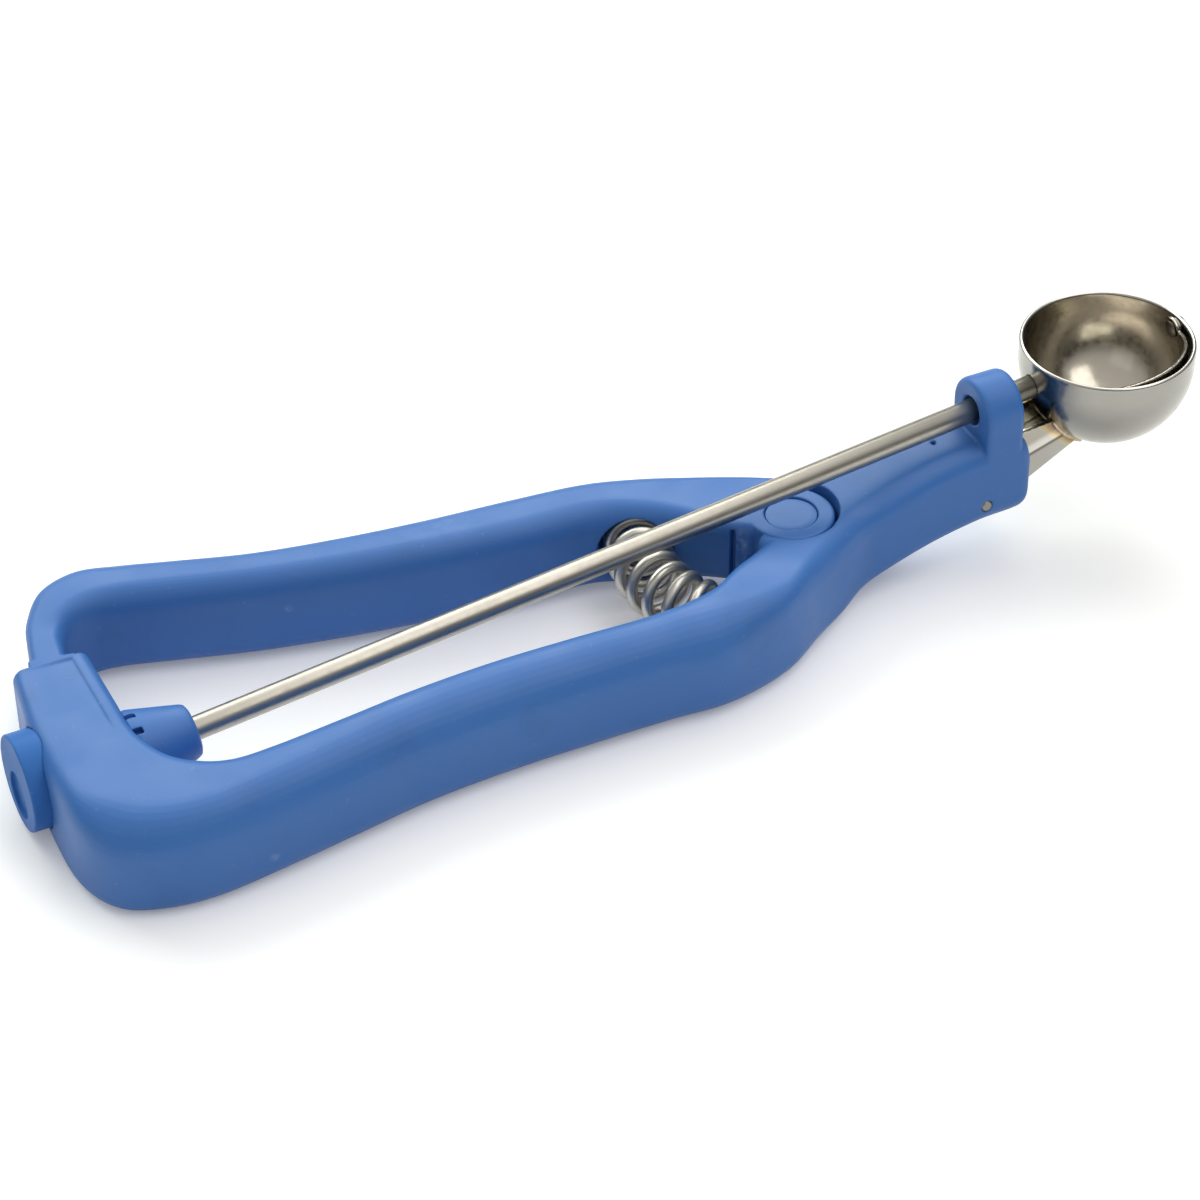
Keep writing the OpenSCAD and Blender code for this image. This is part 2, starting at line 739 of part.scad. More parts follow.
module scraper_blade() {
    reach = bowl_r * 1.8;
    low = blade_top - blade_band;
    color(c_steel)
        on_rod()
            difference() {
                intersection() {
                    blade_shell();
                    union() {
                        translate([-reach, 0, 0])
                            rotate([90, 0, 90])
                                linear_extrude(height = reach * 2)
                                    polygon([[0, 0], reach * [-cos(blade_top), sin(blade_top)],
                                        reach * 1.2 * [-cos(low / 2), sin(low / 2)],
                                        reach * [-cos(low), sin(low)]]);
                        rod_cyl(-reach, -blade_in / 2, ear_r);
                        rod_cyl(blade_in / 2, reach, front_ear_r);
                    }
                }
                rod_cyl(-reach, -blade_in / 2, spigot_r + seat_fit);
                rod_cyl(blade_in / 2, reach, front_pin_r + run_fit);
            }
}

module rod_end_rivet() {
    color(c_steel)
        on_rod()
            difference() {
                intersection() {
                    rod_cyl(-blade_out, -blade_in + 1.3, spigot_r + rivet_lip);
                    sphere(r = blade_in - 0.02, $fn = 96);
                }
                rod_cyl(-bowl_r * 1.2, -blade_in + 1.02, spigot_r + seat_fit);
            }
}

module front_pivot_rivet() {
    color(c_steel)
        difference() {
            on_rod()
                union() {
                    rod_cyl(bowl_r - 0.6, bowl_r + front_head, front_pin_r + front_lip);
                    rod_cyl(blade_in - 0.7, bowl_r, front_pin_r);
                    rod_cyl(blade_in - 0.7, blade_in - 0.3, front_pin_r + front_lip);
                }
            // the head is cut flat where it meets the upright bowl wall
            difference() {
                translate([bowl_x + bowl_r - 4, -5, rod_z(bowl_x) - 6])
                    cube([4.02, 10, 16]);
                on_rod() rod_cyl(bowl_r - 8, bowl_r + 1, front_pin_r);
                on_rod() rod_cyl(0, blade_out, 8);
            }
        }
}

module front_pivot_washer() {
    color(c_steel)
        on_rod()
            difference() {
                rod_cyl(blade_out + 0.02, blade_out + blade_gap * 0.6, front_pin_r + 0.8);
                rod_cyl(blade_in / 2, bowl_r * 1.3, front_pin_r + seat_fit);
            }
}

fixed_handle();
lever_handle();
pivot_pin();
pivot_washer();
pivot_cap();
return_spring();
drive_rod();
pinion();
rod_bush();
end_plug();
bowl();
tang();
tang_weld();
tang_cross_pin();
scraper_blade();
rod_end_rivet();
front_pivot_rivet();
front_pivot_washer();
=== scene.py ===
import math

import bmesh
import bpy
from mathutils import Matrix, Vector


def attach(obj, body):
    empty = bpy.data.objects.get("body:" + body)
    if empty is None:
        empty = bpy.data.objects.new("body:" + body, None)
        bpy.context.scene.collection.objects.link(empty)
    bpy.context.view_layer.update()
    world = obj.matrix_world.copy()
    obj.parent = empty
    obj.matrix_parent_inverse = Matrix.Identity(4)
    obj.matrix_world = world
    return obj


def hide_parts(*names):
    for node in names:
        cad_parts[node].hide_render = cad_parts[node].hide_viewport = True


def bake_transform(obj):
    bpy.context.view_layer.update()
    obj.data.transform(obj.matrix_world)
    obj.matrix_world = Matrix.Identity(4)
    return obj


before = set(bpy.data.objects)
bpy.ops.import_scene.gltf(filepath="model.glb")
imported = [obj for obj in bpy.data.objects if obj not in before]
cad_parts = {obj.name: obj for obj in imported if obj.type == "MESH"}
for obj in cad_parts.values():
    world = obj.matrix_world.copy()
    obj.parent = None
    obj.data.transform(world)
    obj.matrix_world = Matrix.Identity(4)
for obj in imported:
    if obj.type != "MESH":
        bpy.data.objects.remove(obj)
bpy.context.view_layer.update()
scene = bpy.context.scene

# ---- Studio ----
# The scoop lies on a plain pale table under a long soft strip lamp, with two soft lamps behind
# it and a weak fill from the left. The camera stands above the near left corner.
CAMERA_PLACE = Vector((-0.27088, -0.48383, 0.43484))
CAMERA_RIGHT = Vector((0.89778053, -0.44033265, -0.00986306))
CAMERA_UP = Vector((0.27567576, 0.54432019, 0.79228682))
CAMERA_LENS = 110.694
CAMERA_SHIFT = (-0.00731, -0.03425)
CAMERA_SENSOR = 36
CAMERA_NEAR, CAMERA_FAR = 0.05, 20

camera_data = bpy.data.cameras.new("camera")
camera_data.lens = CAMERA_LENS
camera_data.sensor_width = CAMERA_SENSOR
camera_data.shift_x, camera_data.shift_y = CAMERA_SHIFT
camera_data.clip_start, camera_data.clip_end = CAMERA_NEAR, CAMERA_FAR
camera = bpy.data.objects.new("camera", camera_data)
camera_back = CAMERA_RIGHT.cross(CAMERA_UP)
turn = Matrix((CAMERA_RIGHT, CAMERA_UP, camera_back)).transposed()
camera.matrix_world = Matrix.Translation(CAMERA_PLACE) @ turn.to_4x4()
scene.collection.objects.link(camera)
scene.camera = camera
scene.view_settings.view_transform = "Standard"


class Value:
    """A shader socket that takes part in Python arithmetic."""

    def __init__(self, finish, socket):
        self.finish = finish
        self.socket = socket

    def math(self, operation, *values):
        settings = {"operation": operation}
        return self.finish.node("ShaderNodeMath", settings, dict(enumerate(values)))

    def __add__(self, other):
        return self.math("ADD", self, other)

    def __radd__(self, other):
        return self.math("ADD", other, self)

    def __sub__(self, other):
        return self.math("SUBTRACT", self, other)

    def __rsub__(self, other):
        return self.math("SUBTRACT", other, self)

    def __mul__(self, other):
        return self.math("MULTIPLY", self, other)

    def __rmul__(self, other):
        return self.math("MULTIPLY", other, self)


class Finish:
    """A material and its node tree, built by expressions on values."""

    def __init__(self, tree):
        self.tree = tree
        self.tree.nodes.clear()

    def node(self, kind, settings=None, inputs=None, output=0):
        made = self.tree.nodes.new(kind)
        for key, value in (settings or {}).items():
            if key == "stops":
                elements = made.color_ramp.elements
                while len(elements) < len(value):
                    elements.new(0.5)
                for element, (place, colour) in zip(elements, value):
                    element.position = place
                    element.color = (*colour, 1)
            else:
                setattr(made, key, value)
        for key, value in (inputs or {}).items():
            if isinstance(value, Value):
                self.tree.links.new(value.socket, made.inputs[key])
            else:
                made.inputs[key].default_value = value
        return Value(self, made.outputs[output]) if made.outputs else None


def soft_lamp(name, place, aim, size, watts, colour):
    data = bpy.data.lights.new(name, "AREA")
    data.shape = "RECTANGLE"
    data.size, data.size_y = size
    data.energy = watts
    data.color = colour
    lamp = bpy.data.objects.new(name, data)
    away = Vector(place) - Vector(aim)
    facing = away.to_track_quat("Z", "Y").to_matrix().to_4x4()
    lamp.matrix_world = Matrix.Translation(place) @ facing
    scene.collection.objects.link(lamp)


def ramp(finish, stops, value):
    return finish.node("ShaderNodeValToRGB", {"stops": stops}, {0: value})


SCOOP_MIDDLE = (-0.03, 0, 0)
STRIP_TONE, BACK_TONE, LEFT_TONE = (1, 0.99, 0.97), (0.94, 1, 0.93), (1, 0.99, 0.98)
soft_lamp("lamp_strip", (0.5, 0.25, 1.2), (0.5, 0.25, 0), (0.8, 2.8), 11.6, STRIP_TONE)
soft_lamp("lamp_back", (0.6, 1.25, 1.0), SCOOP_MIDDLE, (0.9, 0.5), 5.5, BACK_TONE)
soft_lamp("lamp_corner", (-0.35, 1.1, 0.95), SCOOP_MIDDLE, (0.9, 0.9), 9, BACK_TONE)
soft_lamp("lamp_left", (-1.1, -0.6, 0.8), SCOOP_MIDDLE, (0.9, 0.9), 0.4, LEFT_TONE)

# the room is pale overhead and dark at eye level, which gives the metal its contrast
world = bpy.data.worlds.new("studio")
world.use_nodes = True
scene.world = world
room = Finish(world.node_tree)
direction = room.node("ShaderNodeTexCoord", output=0)
height = room.node("ShaderNodeSeparateXYZ", inputs={0: direction}, output=2)
SKY_STOPS = [
    (0.0, (0.30, 0.29, 0.28)),
    (0.5, (0.10, 0.10, 0.10)),
    (0.66, (0.16, 0.16, 0.16)),
    (0.8, (0.58, 0.58, 0.57)),
    (1.0, (0.72, 0.72, 0.71)),
]
sky = ramp(room, SKY_STOPS, height * 0.5 + 0.5)
glow = room.node("ShaderNodeBackground", inputs={"Color": sky, "Strength": 1.0})
room.node("ShaderNodeOutputWorld", inputs={0: glow})

TABLE_HALF, TABLE_Z = 2.2, -0.0002
TABLE_TONE, TABLE_LIFT = 0.93, 0.18
table_mesh = bpy.data.meshes.new("table")
table_mesh.from_pydata(
    [(x * TABLE_HALF, y * TABLE_HALF, TABLE_Z) for x, y in ((-1, -1), (1, -1), (1, 1), (-1, 1))],
    [],
    [(0, 1, 2, 3)],
)
table = bpy.data.objects.new("table", table_mesh)
scene.collection.objects.link(table)
table_material = bpy.data.materials.new("pale_table")
table_material.use_nodes = True
paper = Finish(table_material.node_tree)
table_tone = (TABLE_TONE, TABLE_TONE, TABLE_TONE, 1)
sheet = paper.node("ShaderNodeBsdfDiffuse", inputs={"Color": table_tone})
lift = paper.node("ShaderNodeEmission", inputs={"Color": (1, 1, 1, 1), "Strength": TABLE_LIFT})
lifted = paper.node("ShaderNodeAddShader", inputs={0: sheet, 1: lift})
camera_ray = paper.node("ShaderNodeLightPath", output="Is Camera Ray")
gloss_ray = paper.node("ShaderNodeLightPath", output="Is Glossy Ray")
glass_ray = paper.node("ShaderNodeLightPath", output="Is Transmission Ray")
seen = camera_ray.math("MAXIMUM", camera_ray, gloss_ray.math("MAXIMUM", gloss_ray, glass_ray))
table_look = paper.node("ShaderNodeMixShader", inputs={0: seen, 1: sheet, 2: lifted})
paper.node("ShaderNodeOutputMaterial", inputs={0: table_look})
table_mesh.materials.append(table_material)

# ---- Fixed handle ----
# One injection moulding in satin blue plastic: the neck with the arched tower, the round boss
# of the lever pivot, the near grip arm and the hollow rear block. Every edge is softly rounded.
MM = 0.001
ORIGIN, UP, ACROSS = (0, 0, 0), (0, 0, 1), (0, 1, 0)
HANDLE_H = 20
WALL_X = -132.2
REAR_X = -149
MOUTH_Y = 20.2
ROD_RISE, ROD_OVER = math.radians(6.6), 5.85
BOWL_X = 68.2
SOLE = -0.05
PIVOT_FLOOR, POCKET_R = 5, 9.1
PIN_FOOT, PIN_BORE_R = 1.37, 3.03
BOSS_R = 11.5
NECK_HALF_W = 6.8
TOWER_BACK, TOWER_FRONT, TOWER_OVER = 38.3, 46.5, 6.4
TOWER_BORE_R, TOWER_MOUTH_R, TOWER_MOUTH = 2.42, 2.9, 1.6
EDGE_BACK, EDGE_FRONT = 1.1, 1.2
CAV_IN, CAV_OUT = 135.3, 144.9
CAV_LO, CAV_HI = 1.2, 18.8
CAV_FROM, CAV_TO = -6.8, 20
PANEL_FROM, PANEL_FLAT, PANEL_RIM, PANEL_DEPTH = -5.7, 1, 0.8, 0.45
SPRING_Z = 9.8
NEAR_SEAT = Vector((-21.7, -12, SPRING_Z))
SPRING_PULL = Vector((-31.7, 3.1, SPRING_Z))
FAR_SEAT = Vector((-23, 18.6, SPRING_Z))
SEAT_R = 6.85
SEAT_CUT = [(0, SEAT_R), (12, SEAT_R + 1)]
CROSS_PIN_PLACE, CROSS_PIN_R, CROSS_PIN_FIT = (39, 0, 11.9), 1.2, 0.03
CROSS_PIN_HOLE = [(x, CROSS_PIN_R + CROSS_PIN_FIT) for x in (-12, 12)]
GATE_X, GATE_Y, GATE_R = 31, 1, 0.5


def rod_z(x):
    """Height of the rod's axis at x."""
    return HANDLE_H + ROD_OVER + x * math.tan(ROD_RISE)


BOWL_CENTRE = Vector((BOWL_X, 0, rod_z(BOWL_X)))
ROD_FRAME = Matrix.Translation(BOWL_CENTRE) @ Matrix.Rotation(-ROD_RISE, 4, "Y")
ROD_DIR = Vector((math.cos(ROD_RISE), 0, math.sin(ROD_RISE)))
CAP_PLACE = Vector((REAR_X, 2, rod_z(REAR_X) + 1.5))
CAP_DIR = Vector((-1, 0, 0))
CAP_R, PLUG_R, CAP_SINK = 9, 8.15, 1.4


def on_rod(way):
    """The point that lies this way along the rod's axis from the bowl's middle."""
    return ROD_FRAME @ Vector((way, 0, 0))


def along(x):
    """Way along the rod's axis to where it passes x."""
    return (x - BOWL_X) / math.cos(ROD_RISE)


BUSH_SEAT = along(WALL_X + 0.6)
BUSH_PLUG_R, BUSH_FACE_R = 5.6, 8.15


def solid(name, points, faces):
    """A closed mesh from points in millimetres, its faces turned outward."""
    mesh = bpy.data.meshes.new(name)
    mesh.from_pydata([Vector(p) * MM for p in points], [], faces)
    shape = bmesh.new()
    shape.from_mesh(mesh)
    bmesh.ops.recalc_face_normals(shape, faces=shape.faces)
    shape.to_mesh(mesh)
    shape.free()
    made = bpy.data.objects.new(name, mesh)
    scene.collection.objects.link(made)
    return made


def lofted(name, rings, closed=False):
    """A skin over rings of equally many points, capped at both ends unless it closes on itself."""
    count, last = len(rings[0]), len(rings) - 1
    spans = range(last + 1) if closed else range(last)
    faces = [
        (
            k * count + i,
            k * count + (i + 1) % count,
            (k + 1) % (last + 1) * count + (i + 1) % count,
            (k + 1) % (last + 1) * count + i,
        )
        for k in spans
        for i in range(count)
    ]
    if not closed:
        faces += [tuple(range(count)), tuple(last * count + i for i in range(count))]
    return solid(name, [p for ring in rings for p in ring], faces)


def station(stations, u):
    """Point u of the smooth curve through the stations."""
    last = len(stations) - 1
    i = min(int(u), last - 1)
    t = u - i
    a, b, c, d = (stations[min(max(i + k, 0), last)] for k in (-1, 0, 1, 2))
    return [
        0.5
        * (2 * q + (r - p) * t + (2 * p - 5 * q + 4 * r - s) * t * t + (3 * q - p - 3 * r + s) * t**3)
        for p, q, r, s in zip(a, b, c, d)
    ]


CORNER_POINTS, LEAST_FLAT = 10, 0.2


def section(values):
    """Rounded upright section between two edge points: x1, y1, x2, y2, low, high, rounding and,
    where it differs, the rounding of the upper edge at the second point."""
    x1, y1, x2, y2, low, high, rounding, outer = values
    start, across = Vector((x1, y1)), Vector((x2 - x1, y2 - y1))
    width = across.length
    across = across / width
    edge = min(rounding, width / 2 - LEAST_FLAT)
    ring = []
    for corner in range(4):
        r = min(outer, width - edge - LEAST_FLAT) if corner == 0 else edge
        for k in range(CORNER_POINTS):
            angle = math.pi / 2 * (corner + k / (CORNER_POINTS - 1))
            u = (width - r if corner in (0, 3) else r) + r * math.cos(angle)
            z = (high - r if corner < 2 else low + r) + r * math.sin(angle)
            flat = start + across * u
            ring.append((flat.x, flat.y, z))
    return ring


def moulding(name, stations, steps=9):
    """A grip arm: sections on the smooth curve through its stations."""
    last = (len(stations) - 1) * steps
    stations = [values if len(values) == 8 else (*values, values[6]) for values in stations]
    return lofted(name, [section(station(stations, k / steps)) for k in range(last + 1)])


def turned(name, profile, origin, axis, segments=96, closed=False):
    """A lathe shape: profile holds (distance along the axis, radius) pairs."""
    axis = Vector(axis).normalized()
    side = axis.orthogonal().normalized()
    if abs(axis.z) < 0.9:
        side = (Vector((0, 0, 1)) - axis * axis.z).normalized()
    other = axis.cross(side)
    rings = []
    for s, r in profile:
        centre = Vector(origin) + axis * s
        rings.append(
            [
                centre + (side * math.cos(a) + other * math.sin(a)) * r
                for a in (k * math.tau / segments for k in range(segments))
            ]
        )
    return lofted(name, rings, closed)


def rod_bar(name, start, end, radius):
    return turned(name, [(start, radius), (end, radius)], on_rod(0), ROD_DIR)


def prism(name, outline, low, high, place=None):
    """An outline in the XY plane raised from low to high, then put in place."""
    place = place or Matrix()
    return lofted(name, [[place @ Vector((x, y, z)) for x, y in outline] for z in (low, high)])


def sector(name, r_in, r_out, low, high, start, end):
    """Ring sector about the pivot: angles in degrees from -X toward +Y."""
    steps = 40
    turns = [math.radians(start + (end - start) * k / steps) for k in range(steps + 1)]
    bow = [(-math.cos(a), math.sin(a)) for a in turns]
    outer = [(x * r_out, y * r_out) for x, y in bow]
    inner = [(x * r_in, y * r_in) for x, y in reversed(bow)]
    return prism(name, outer + inner, low, high)


def settle(piece):
    """Applies the piece's modifiers."""
    graph = bpy.context.evaluated_depsgraph_get()
    mesh = bpy.data.meshes.new_from_object(piece.evaluated_get(graph))
    piece.modifiers.clear()
    old, piece.data = piece.data, mesh
    mesh.name = piece.name
    bpy.data.meshes.remove(old)
    return piece


def combine(piece, operation, others):
    """Joins, cuts or keeps the piece with other shapes, which it uses up."""
    for other in others:
        step = piece.modifiers.new(other.name, "BOOLEAN")
        step.solver = "MANIFOLD"
        step.operation = operation
        step.object = other
    settle(piece)
    for other in others:
        bpy.data.meshes.remove(other.data)
    return piece


def cast(piece, voxel, passes):
    """Melts the piece into one even skin, which gives its edges their small rounding."""
    melt = piece.modifiers.new("melt", "REMESH")
    melt.mode = "VOXEL"
    melt.voxel_size = voxel * MM
    melt.use_smooth_shade = True
    if passes:
        ease = piece.modifiers.new("ease", "SMOOTH")
        ease.factor = 0.5
        ease.iterations = passes
    settle(piece)
    piece.data.shade_smooth()
    return piece


OUTER_ROUND = 8
# from the tower back along the near arm and round to the mouth of the block
HANDLE_STATIONS = [
    (48.4, NECK_HALF_W - 0.6, 48.4, -NECK_HALF_W + 0.6, 9.6, 22.2, 3.2, 3.2),
    (TOWER_FRONT, NECK_HALF_W, TOWER_FRONT, -NECK_HALF_W, 7.9, 25, 3.6, 3.6),
    (38, NECK_HALF_W + 0.1, 38, -NECK_HALF_W - 0.1, 7.1, 25.2, 4.2, 4.2),
    (28, NECK_HALF_W + 0.6, 28, -NECK_HALF_W - 0.6, 5.5, 24.2, 4.6, 4.6),
    (18.5, NECK_HALF_W + 1.4, 18.5, -NECK_HALF_W - 1.5, 3.4, 22.4, 4.8, 4.8),
    (11, NECK_HALF_W + 1.8, 11.5, -9.2, 1.4, 20.7, 4.8, 4.8),
    (4, NECK_HALF_W, 5, -12.7, SOLE, HANDLE_H, 4.8, 4.8),
    (-3.5, 0.5, -2.5, -17.2, SOLE, HANDLE_H, 4.8, 4.8),
    (-9.5, -5.3, -10.5, -22, SOLE, HANDLE_H, 4, 4),
    (-16.5, -8.7, -19, -25, SOLE, HANDLE_H, 4, 6),
    (-24, -12.4, -28, -26.7, SOLE, HANDLE_H, 4.8, OUTER_ROUND),
    (-36, -13.9, -38, -26.1, SOLE, HANDLE_H, 4.8, OUTER_ROUND),
    (-52, -13.3, -53, -25.8, SOLE, HANDLE_H, 4.8, OUTER_ROUND),
    (-68, -13, -69, -25.8, SOLE, HANDLE_H, 4.8, OUTER_ROUND),
    (-84, -13.8, -86, -26.8, SOLE, HANDLE_H, 4.8, OUTER_ROUND),
    (-98, -15.4, -101, -29.1, SOLE, HANDLE_H, 4.8, OUTER_ROUND),
    (-111, -16.8, -116, -31.4, SOLE, HANDLE_H, 4.8, OUTER_ROUND),
    (WALL_X + 13, -17.2, WALL_X + 3, -32.5, SOLE, HANDLE_H, 4.4, OUTER_ROUND),
    (WALL_X + 6.6, -14.6, WALL_X - 6.8, -30.9, SOLE, HANDLE_H, 3.8, OUTER_ROUND),
    (WALL_X + 2.4, -10.4, WALL_X - 13.8, -26.4, SOLE, HANDLE_H, 3, OUTER_ROUND),
    (WALL_X, -3.5, WALL_X - 17.2, -16.5, SOLE, HANDLE_H, 2.4, 5),
    (WALL_X, 5, REAR_X - 0.1, 1, SOLE, HANDLE_H, 2.4, 3.5),
    (WALL_X, 13, REAR_X + 1.4, 12, SOLE, HANDLE_H, 2.4, 2.4),
    (WALL_X, MOUTH_Y, REAR_X + 2.5, MOUTH_Y, SOLE, HANDLE_H, 2.4, 2.4),
]
TOWER_FOOT, ARCH_STEPS = 14, 24


def tower_ring(x):
    """Arched outline of the tower at x, drawn in toward its two rounded edges."""
    inset = 0
    for depth, edge in ((x - TOWER_BACK, EDGE_BACK), (TOWER_FRONT - x, EDGE_FRONT)):
        if depth < edge:
            inset = min(edge - math.sqrt(edge**2 - (edge - depth) ** 2), edge * 0.8)
    top = rod_z(TOWER_BACK) + TOWER_OVER - NECK_HALF_W
    r = NECK_HALF_W - inset
    turns = [math.pi * k / ARCH_STEPS for k in range(ARCH_STEPS + 1)]
    arch = [(x, r * math.cos(a), top + r * math.sin(a)) for a in turns]
    return [(x, r, TOWER_FOOT)] + arch + [(x, -r, TOWER_FOOT)]


back_steps = [TOWER_BACK + s * EDGE_BACK for s in (0, 0.1, 0.25, 0.5, 1)]
front_steps = [TOWER_FRONT - s * EDGE_FRONT for s in (1, 0.5, 0.25, 0.1, 0)]
tower = lofted("tower", [tower_ring(x) for x in back_steps + front_steps])
boss_edge = [
    (HANDLE_H - 1.8, BOSS_R),
    (HANDLE_H - 0.9, BOSS_R - 0.4),
    (HANDLE_H - 0.3, BOSS_R - 1),
    (HANDLE_H, BOSS_R - 1.9),
]
boss = turned("boss", [(SOLE, BOSS_R)] + boss_edge, ORIGIN, UP)


def polar(degrees, reach):
    """The point at this angle and distance from the middle of an outline."""
    turn = math.radians(degrees)
    return (reach * math.cos(turn), reach * math.sin(turn))


# the lever's way into the pocket, left open by the mould
passage_outline = [(0, 0), polar(68, 30), polar(110, 48), polar(165, 48), polar(207.5, 30)]
passage = prism("passage", passage_outline, PIVOT_FLOOR, 2 * HANDLE_H)

# the slot that takes the foot of the channel
SHANK_HALF, SHANK_T, SHANK_LO = 4.5, 1.2, 9.2
BEND_X, SLOT_X, SHANK_TOP = 42.4, 36, 23.6
SLOT_FIT = 0.05
RISE = math.tan(math.radians(29))
TOP_RISE = math.tan(math.radians(11.5 * 0.55))
UPRIGHT = Matrix.Rotation(math.pi / 2, 4, "X")


def channel_side(back, lift, top, top_end):
    """Side outline of the folded channel in the neck, raised by lift."""
    low = SHANK_LO + lift
    return [
        (back, low),
        (BEND_X, low),
        (BOWL_X, low + (BOWL_X - BEND_X) * RISE),
        (BOWL_X, top_end),
        (back, top),
    ]


slot_top = SHANK_TOP + SLOT_FIT
slot_end = slot_top + (BOWL_X - SLOT_X) * TOP_RISE
slot_side = channel_side(SLOT_X - SLOT_FIT, -SLOT_FIT, slot_top, slot_end)
slot_half = SHANK_HALF + SLOT_FIT
slot = prism("channel_slot", slot_side, -slot_half, slot_half, UPRIGHT)
core_side = channel_side(SLOT_X - 3, SHANK_T + SLOT_FIT, 60, 60)
core_half = SHANK_HALF - SHANK_T - SLOT_FIT
core = prism("channel_core", core_side, -core_half, core_half, UPRIGHT)
combine(slot, "DIFFERENCE", [core])


def panel_ring(y, depth):
    """Section of the recessed panel at y: its floor rises to nothing at the outer side."""
    outer, inner, over = -CAV_OUT + 0.5, -CAV_IN, HANDLE_H + 4
    floor = [(outer, y, HANDLE_H - depth * 0.1), (inner, y, HANDLE_H - depth)]
    return floor + [(inner, y, over), (outer, y, over)]


panel_rings = [
    panel_ring(PANEL_FROM, 0.02),
    panel_ring(PANEL_FLAT, PANEL_DEPTH),
    panel_ring(MOUTH_Y - PANEL_RIM, PANEL_DEPTH),
]
OVER_TOP = 30
gate_floor = rod_z(GATE_X) - 6.1
handle_cuts = [
    turned("pocket", [(PIVOT_FLOOR, POCKET_R), (OVER_TOP, POCKET_R)], ORIGIN, UP),
    passage,
    turned("pin_bore", [(PIN_FOOT, PIN_BORE_R), (OVER_TOP, PIN_BORE_R)], ORIGIN, UP),
    rod_bar("tower_bore", along(TOWER_BACK - 4), along(TOWER_FRONT + 6), TOWER_BORE_R),
    rod_bar("tower_mouth", along(TOWER_BACK - 4), along(TOWER_BACK + TOWER_MOUTH), TOWER_MOUTH_R),
    sector("cavity", CAV_IN, CAV_OUT, CAV_LO, CAV_HI, CAV_FROM, CAV_TO),
    rod_bar("bush_hole", along(-CAV_IN - 3), along(WALL_X + 4), BUSH_PLUG_R + 0.1),
    rod_bar("bush_face", BUSH_SEAT, BUSH_SEAT + 14, BUSH_FACE_R),
    turned("plug_hole", [(-7, PLUG_R + 0.1), (13, PLUG_R + 0.1)], CAP_PLACE, CAP_DIR),
    turned("cap_seat", [(-CAP_SINK, CAP_R + 0.06), (8, CAP_R + 0.06)], CAP_PLACE, CAP_DIR),
    lofted("panel", panel_rings),
    slot,
    turned("pin_hole", CROSS_PIN_HOLE, CROSS_PIN_PLACE, ACROSS),
    turned("near_seat", SEAT_CUT, NEAR_SEAT, SPRING_PULL - NEAR_SEAT),
    prism("table_plane", [(-200, -60), (60, -60), (60, 60), (-200, 60)], -5, 0),
    turned("gate_mark", [(gate_floor, GATE_R), (OVER_TOP, GATE_R)], (GATE_X, GATE_Y, 0), UP, 32),
]
fixed_handle = moulding("handle_moulding", HANDLE_STATIONS)
combine(fixed_handle, "UNION", [tower, boss])
combine(fixed_handle, "DIFFERENCE", handle_cuts)
cast(fixed_handle, voxel=0.26, passes=4)


def vectors(finish, operation, *values, output=0):
    settings = {"operation": operation}
    return finish.node("ShaderNodeVectorMath", settings, dict(enumerate(values)), output)


def mark(finish, place, near, centre, radius, stretch=(1, 1, 1)):
    """A soft spot of the given radius, 1 in its middle and 0 outside."""
    offset = vectors(finish, "SUBTRACT", place, Vector(centre) * MM)
    gap = vectors(finish, "LENGTH", vectors(finish, "MULTIPLY", offset, stretch), output="Value")
    ends = {"From Min": near * MM, "From Max": radius * MM, "To Min": 1.0, "To Max": 0.0}
    settings = {"interpolation_type": "SMOOTHSTEP"}
    return finish.node("ShaderNodeMapRange", settings, {"Value": gap, **ends})


def noise(finish, place, scale, detail=2.0, rough=0.5):
    sockets = {"Vector": place, "Scale": scale, "Detail": detail, "Roughness": rough}
    return finish.node("ShaderNodeTexNoise", inputs=sockets)


def spread(finish, value, low, high, out_low=0.0, out_high=1.0):
    """Carries the value from low..high over to out_low..out_high."""
    ends = {"From Min": low, "From Max": high, "To Min": out_low, "To Max": out_high}
    return finish.node("ShaderNodeMapRange", inputs={"Value": value, **ends})


def opaque(colour):
    return colour if isinstance(colour, Value) else (*colour, 1)


def tint(finish, share, base, other, blend="MIX"):
    """Mixes two colours; share, base and other may be values or plain numbers."""
    settings = {"data_type": "RGBA", "blend_type": blend}
    sockets = {0: share, 6: opaque(base), 7: opaque(other)}
    return finish.node("ShaderNodeMix", settings, sockets, output=2)


def new_finish(name):
    """A new material, its finish and the place on the piece."""
    material = bpy.data.materials.new(name)
    material.use_nodes = True
    finish = Finish(material.node_tree)
    place = finish.node("ShaderNodeTexCoord", output="Object")
    return material, finish, place


def shade(finish, sockets):
    shader = finish.node("ShaderNodeBsdfPrincipled", inputs=sockets)
    finish.node("ShaderNodeOutputMaterial", inputs={0: shader})


def bump(finish, height, strength, distance):
    sockets = {"Height": height, "Strength": strength, "Distance": distance}
    return finish.node("ShaderNodeBump", inputs=sockets)


def dress(piece, material):
    piece.data.materials.clear()
    piece.data.materials.append(material)


BLUE = (0.040, 0.154, 0.460)
BLUE_LIGHT = (0.050, 0.176, 0.495)
BLUE_PALE = (0.30, 0.42, 0.66)
BLUE_DIRTY = (0.035, 0.085, 0.21)


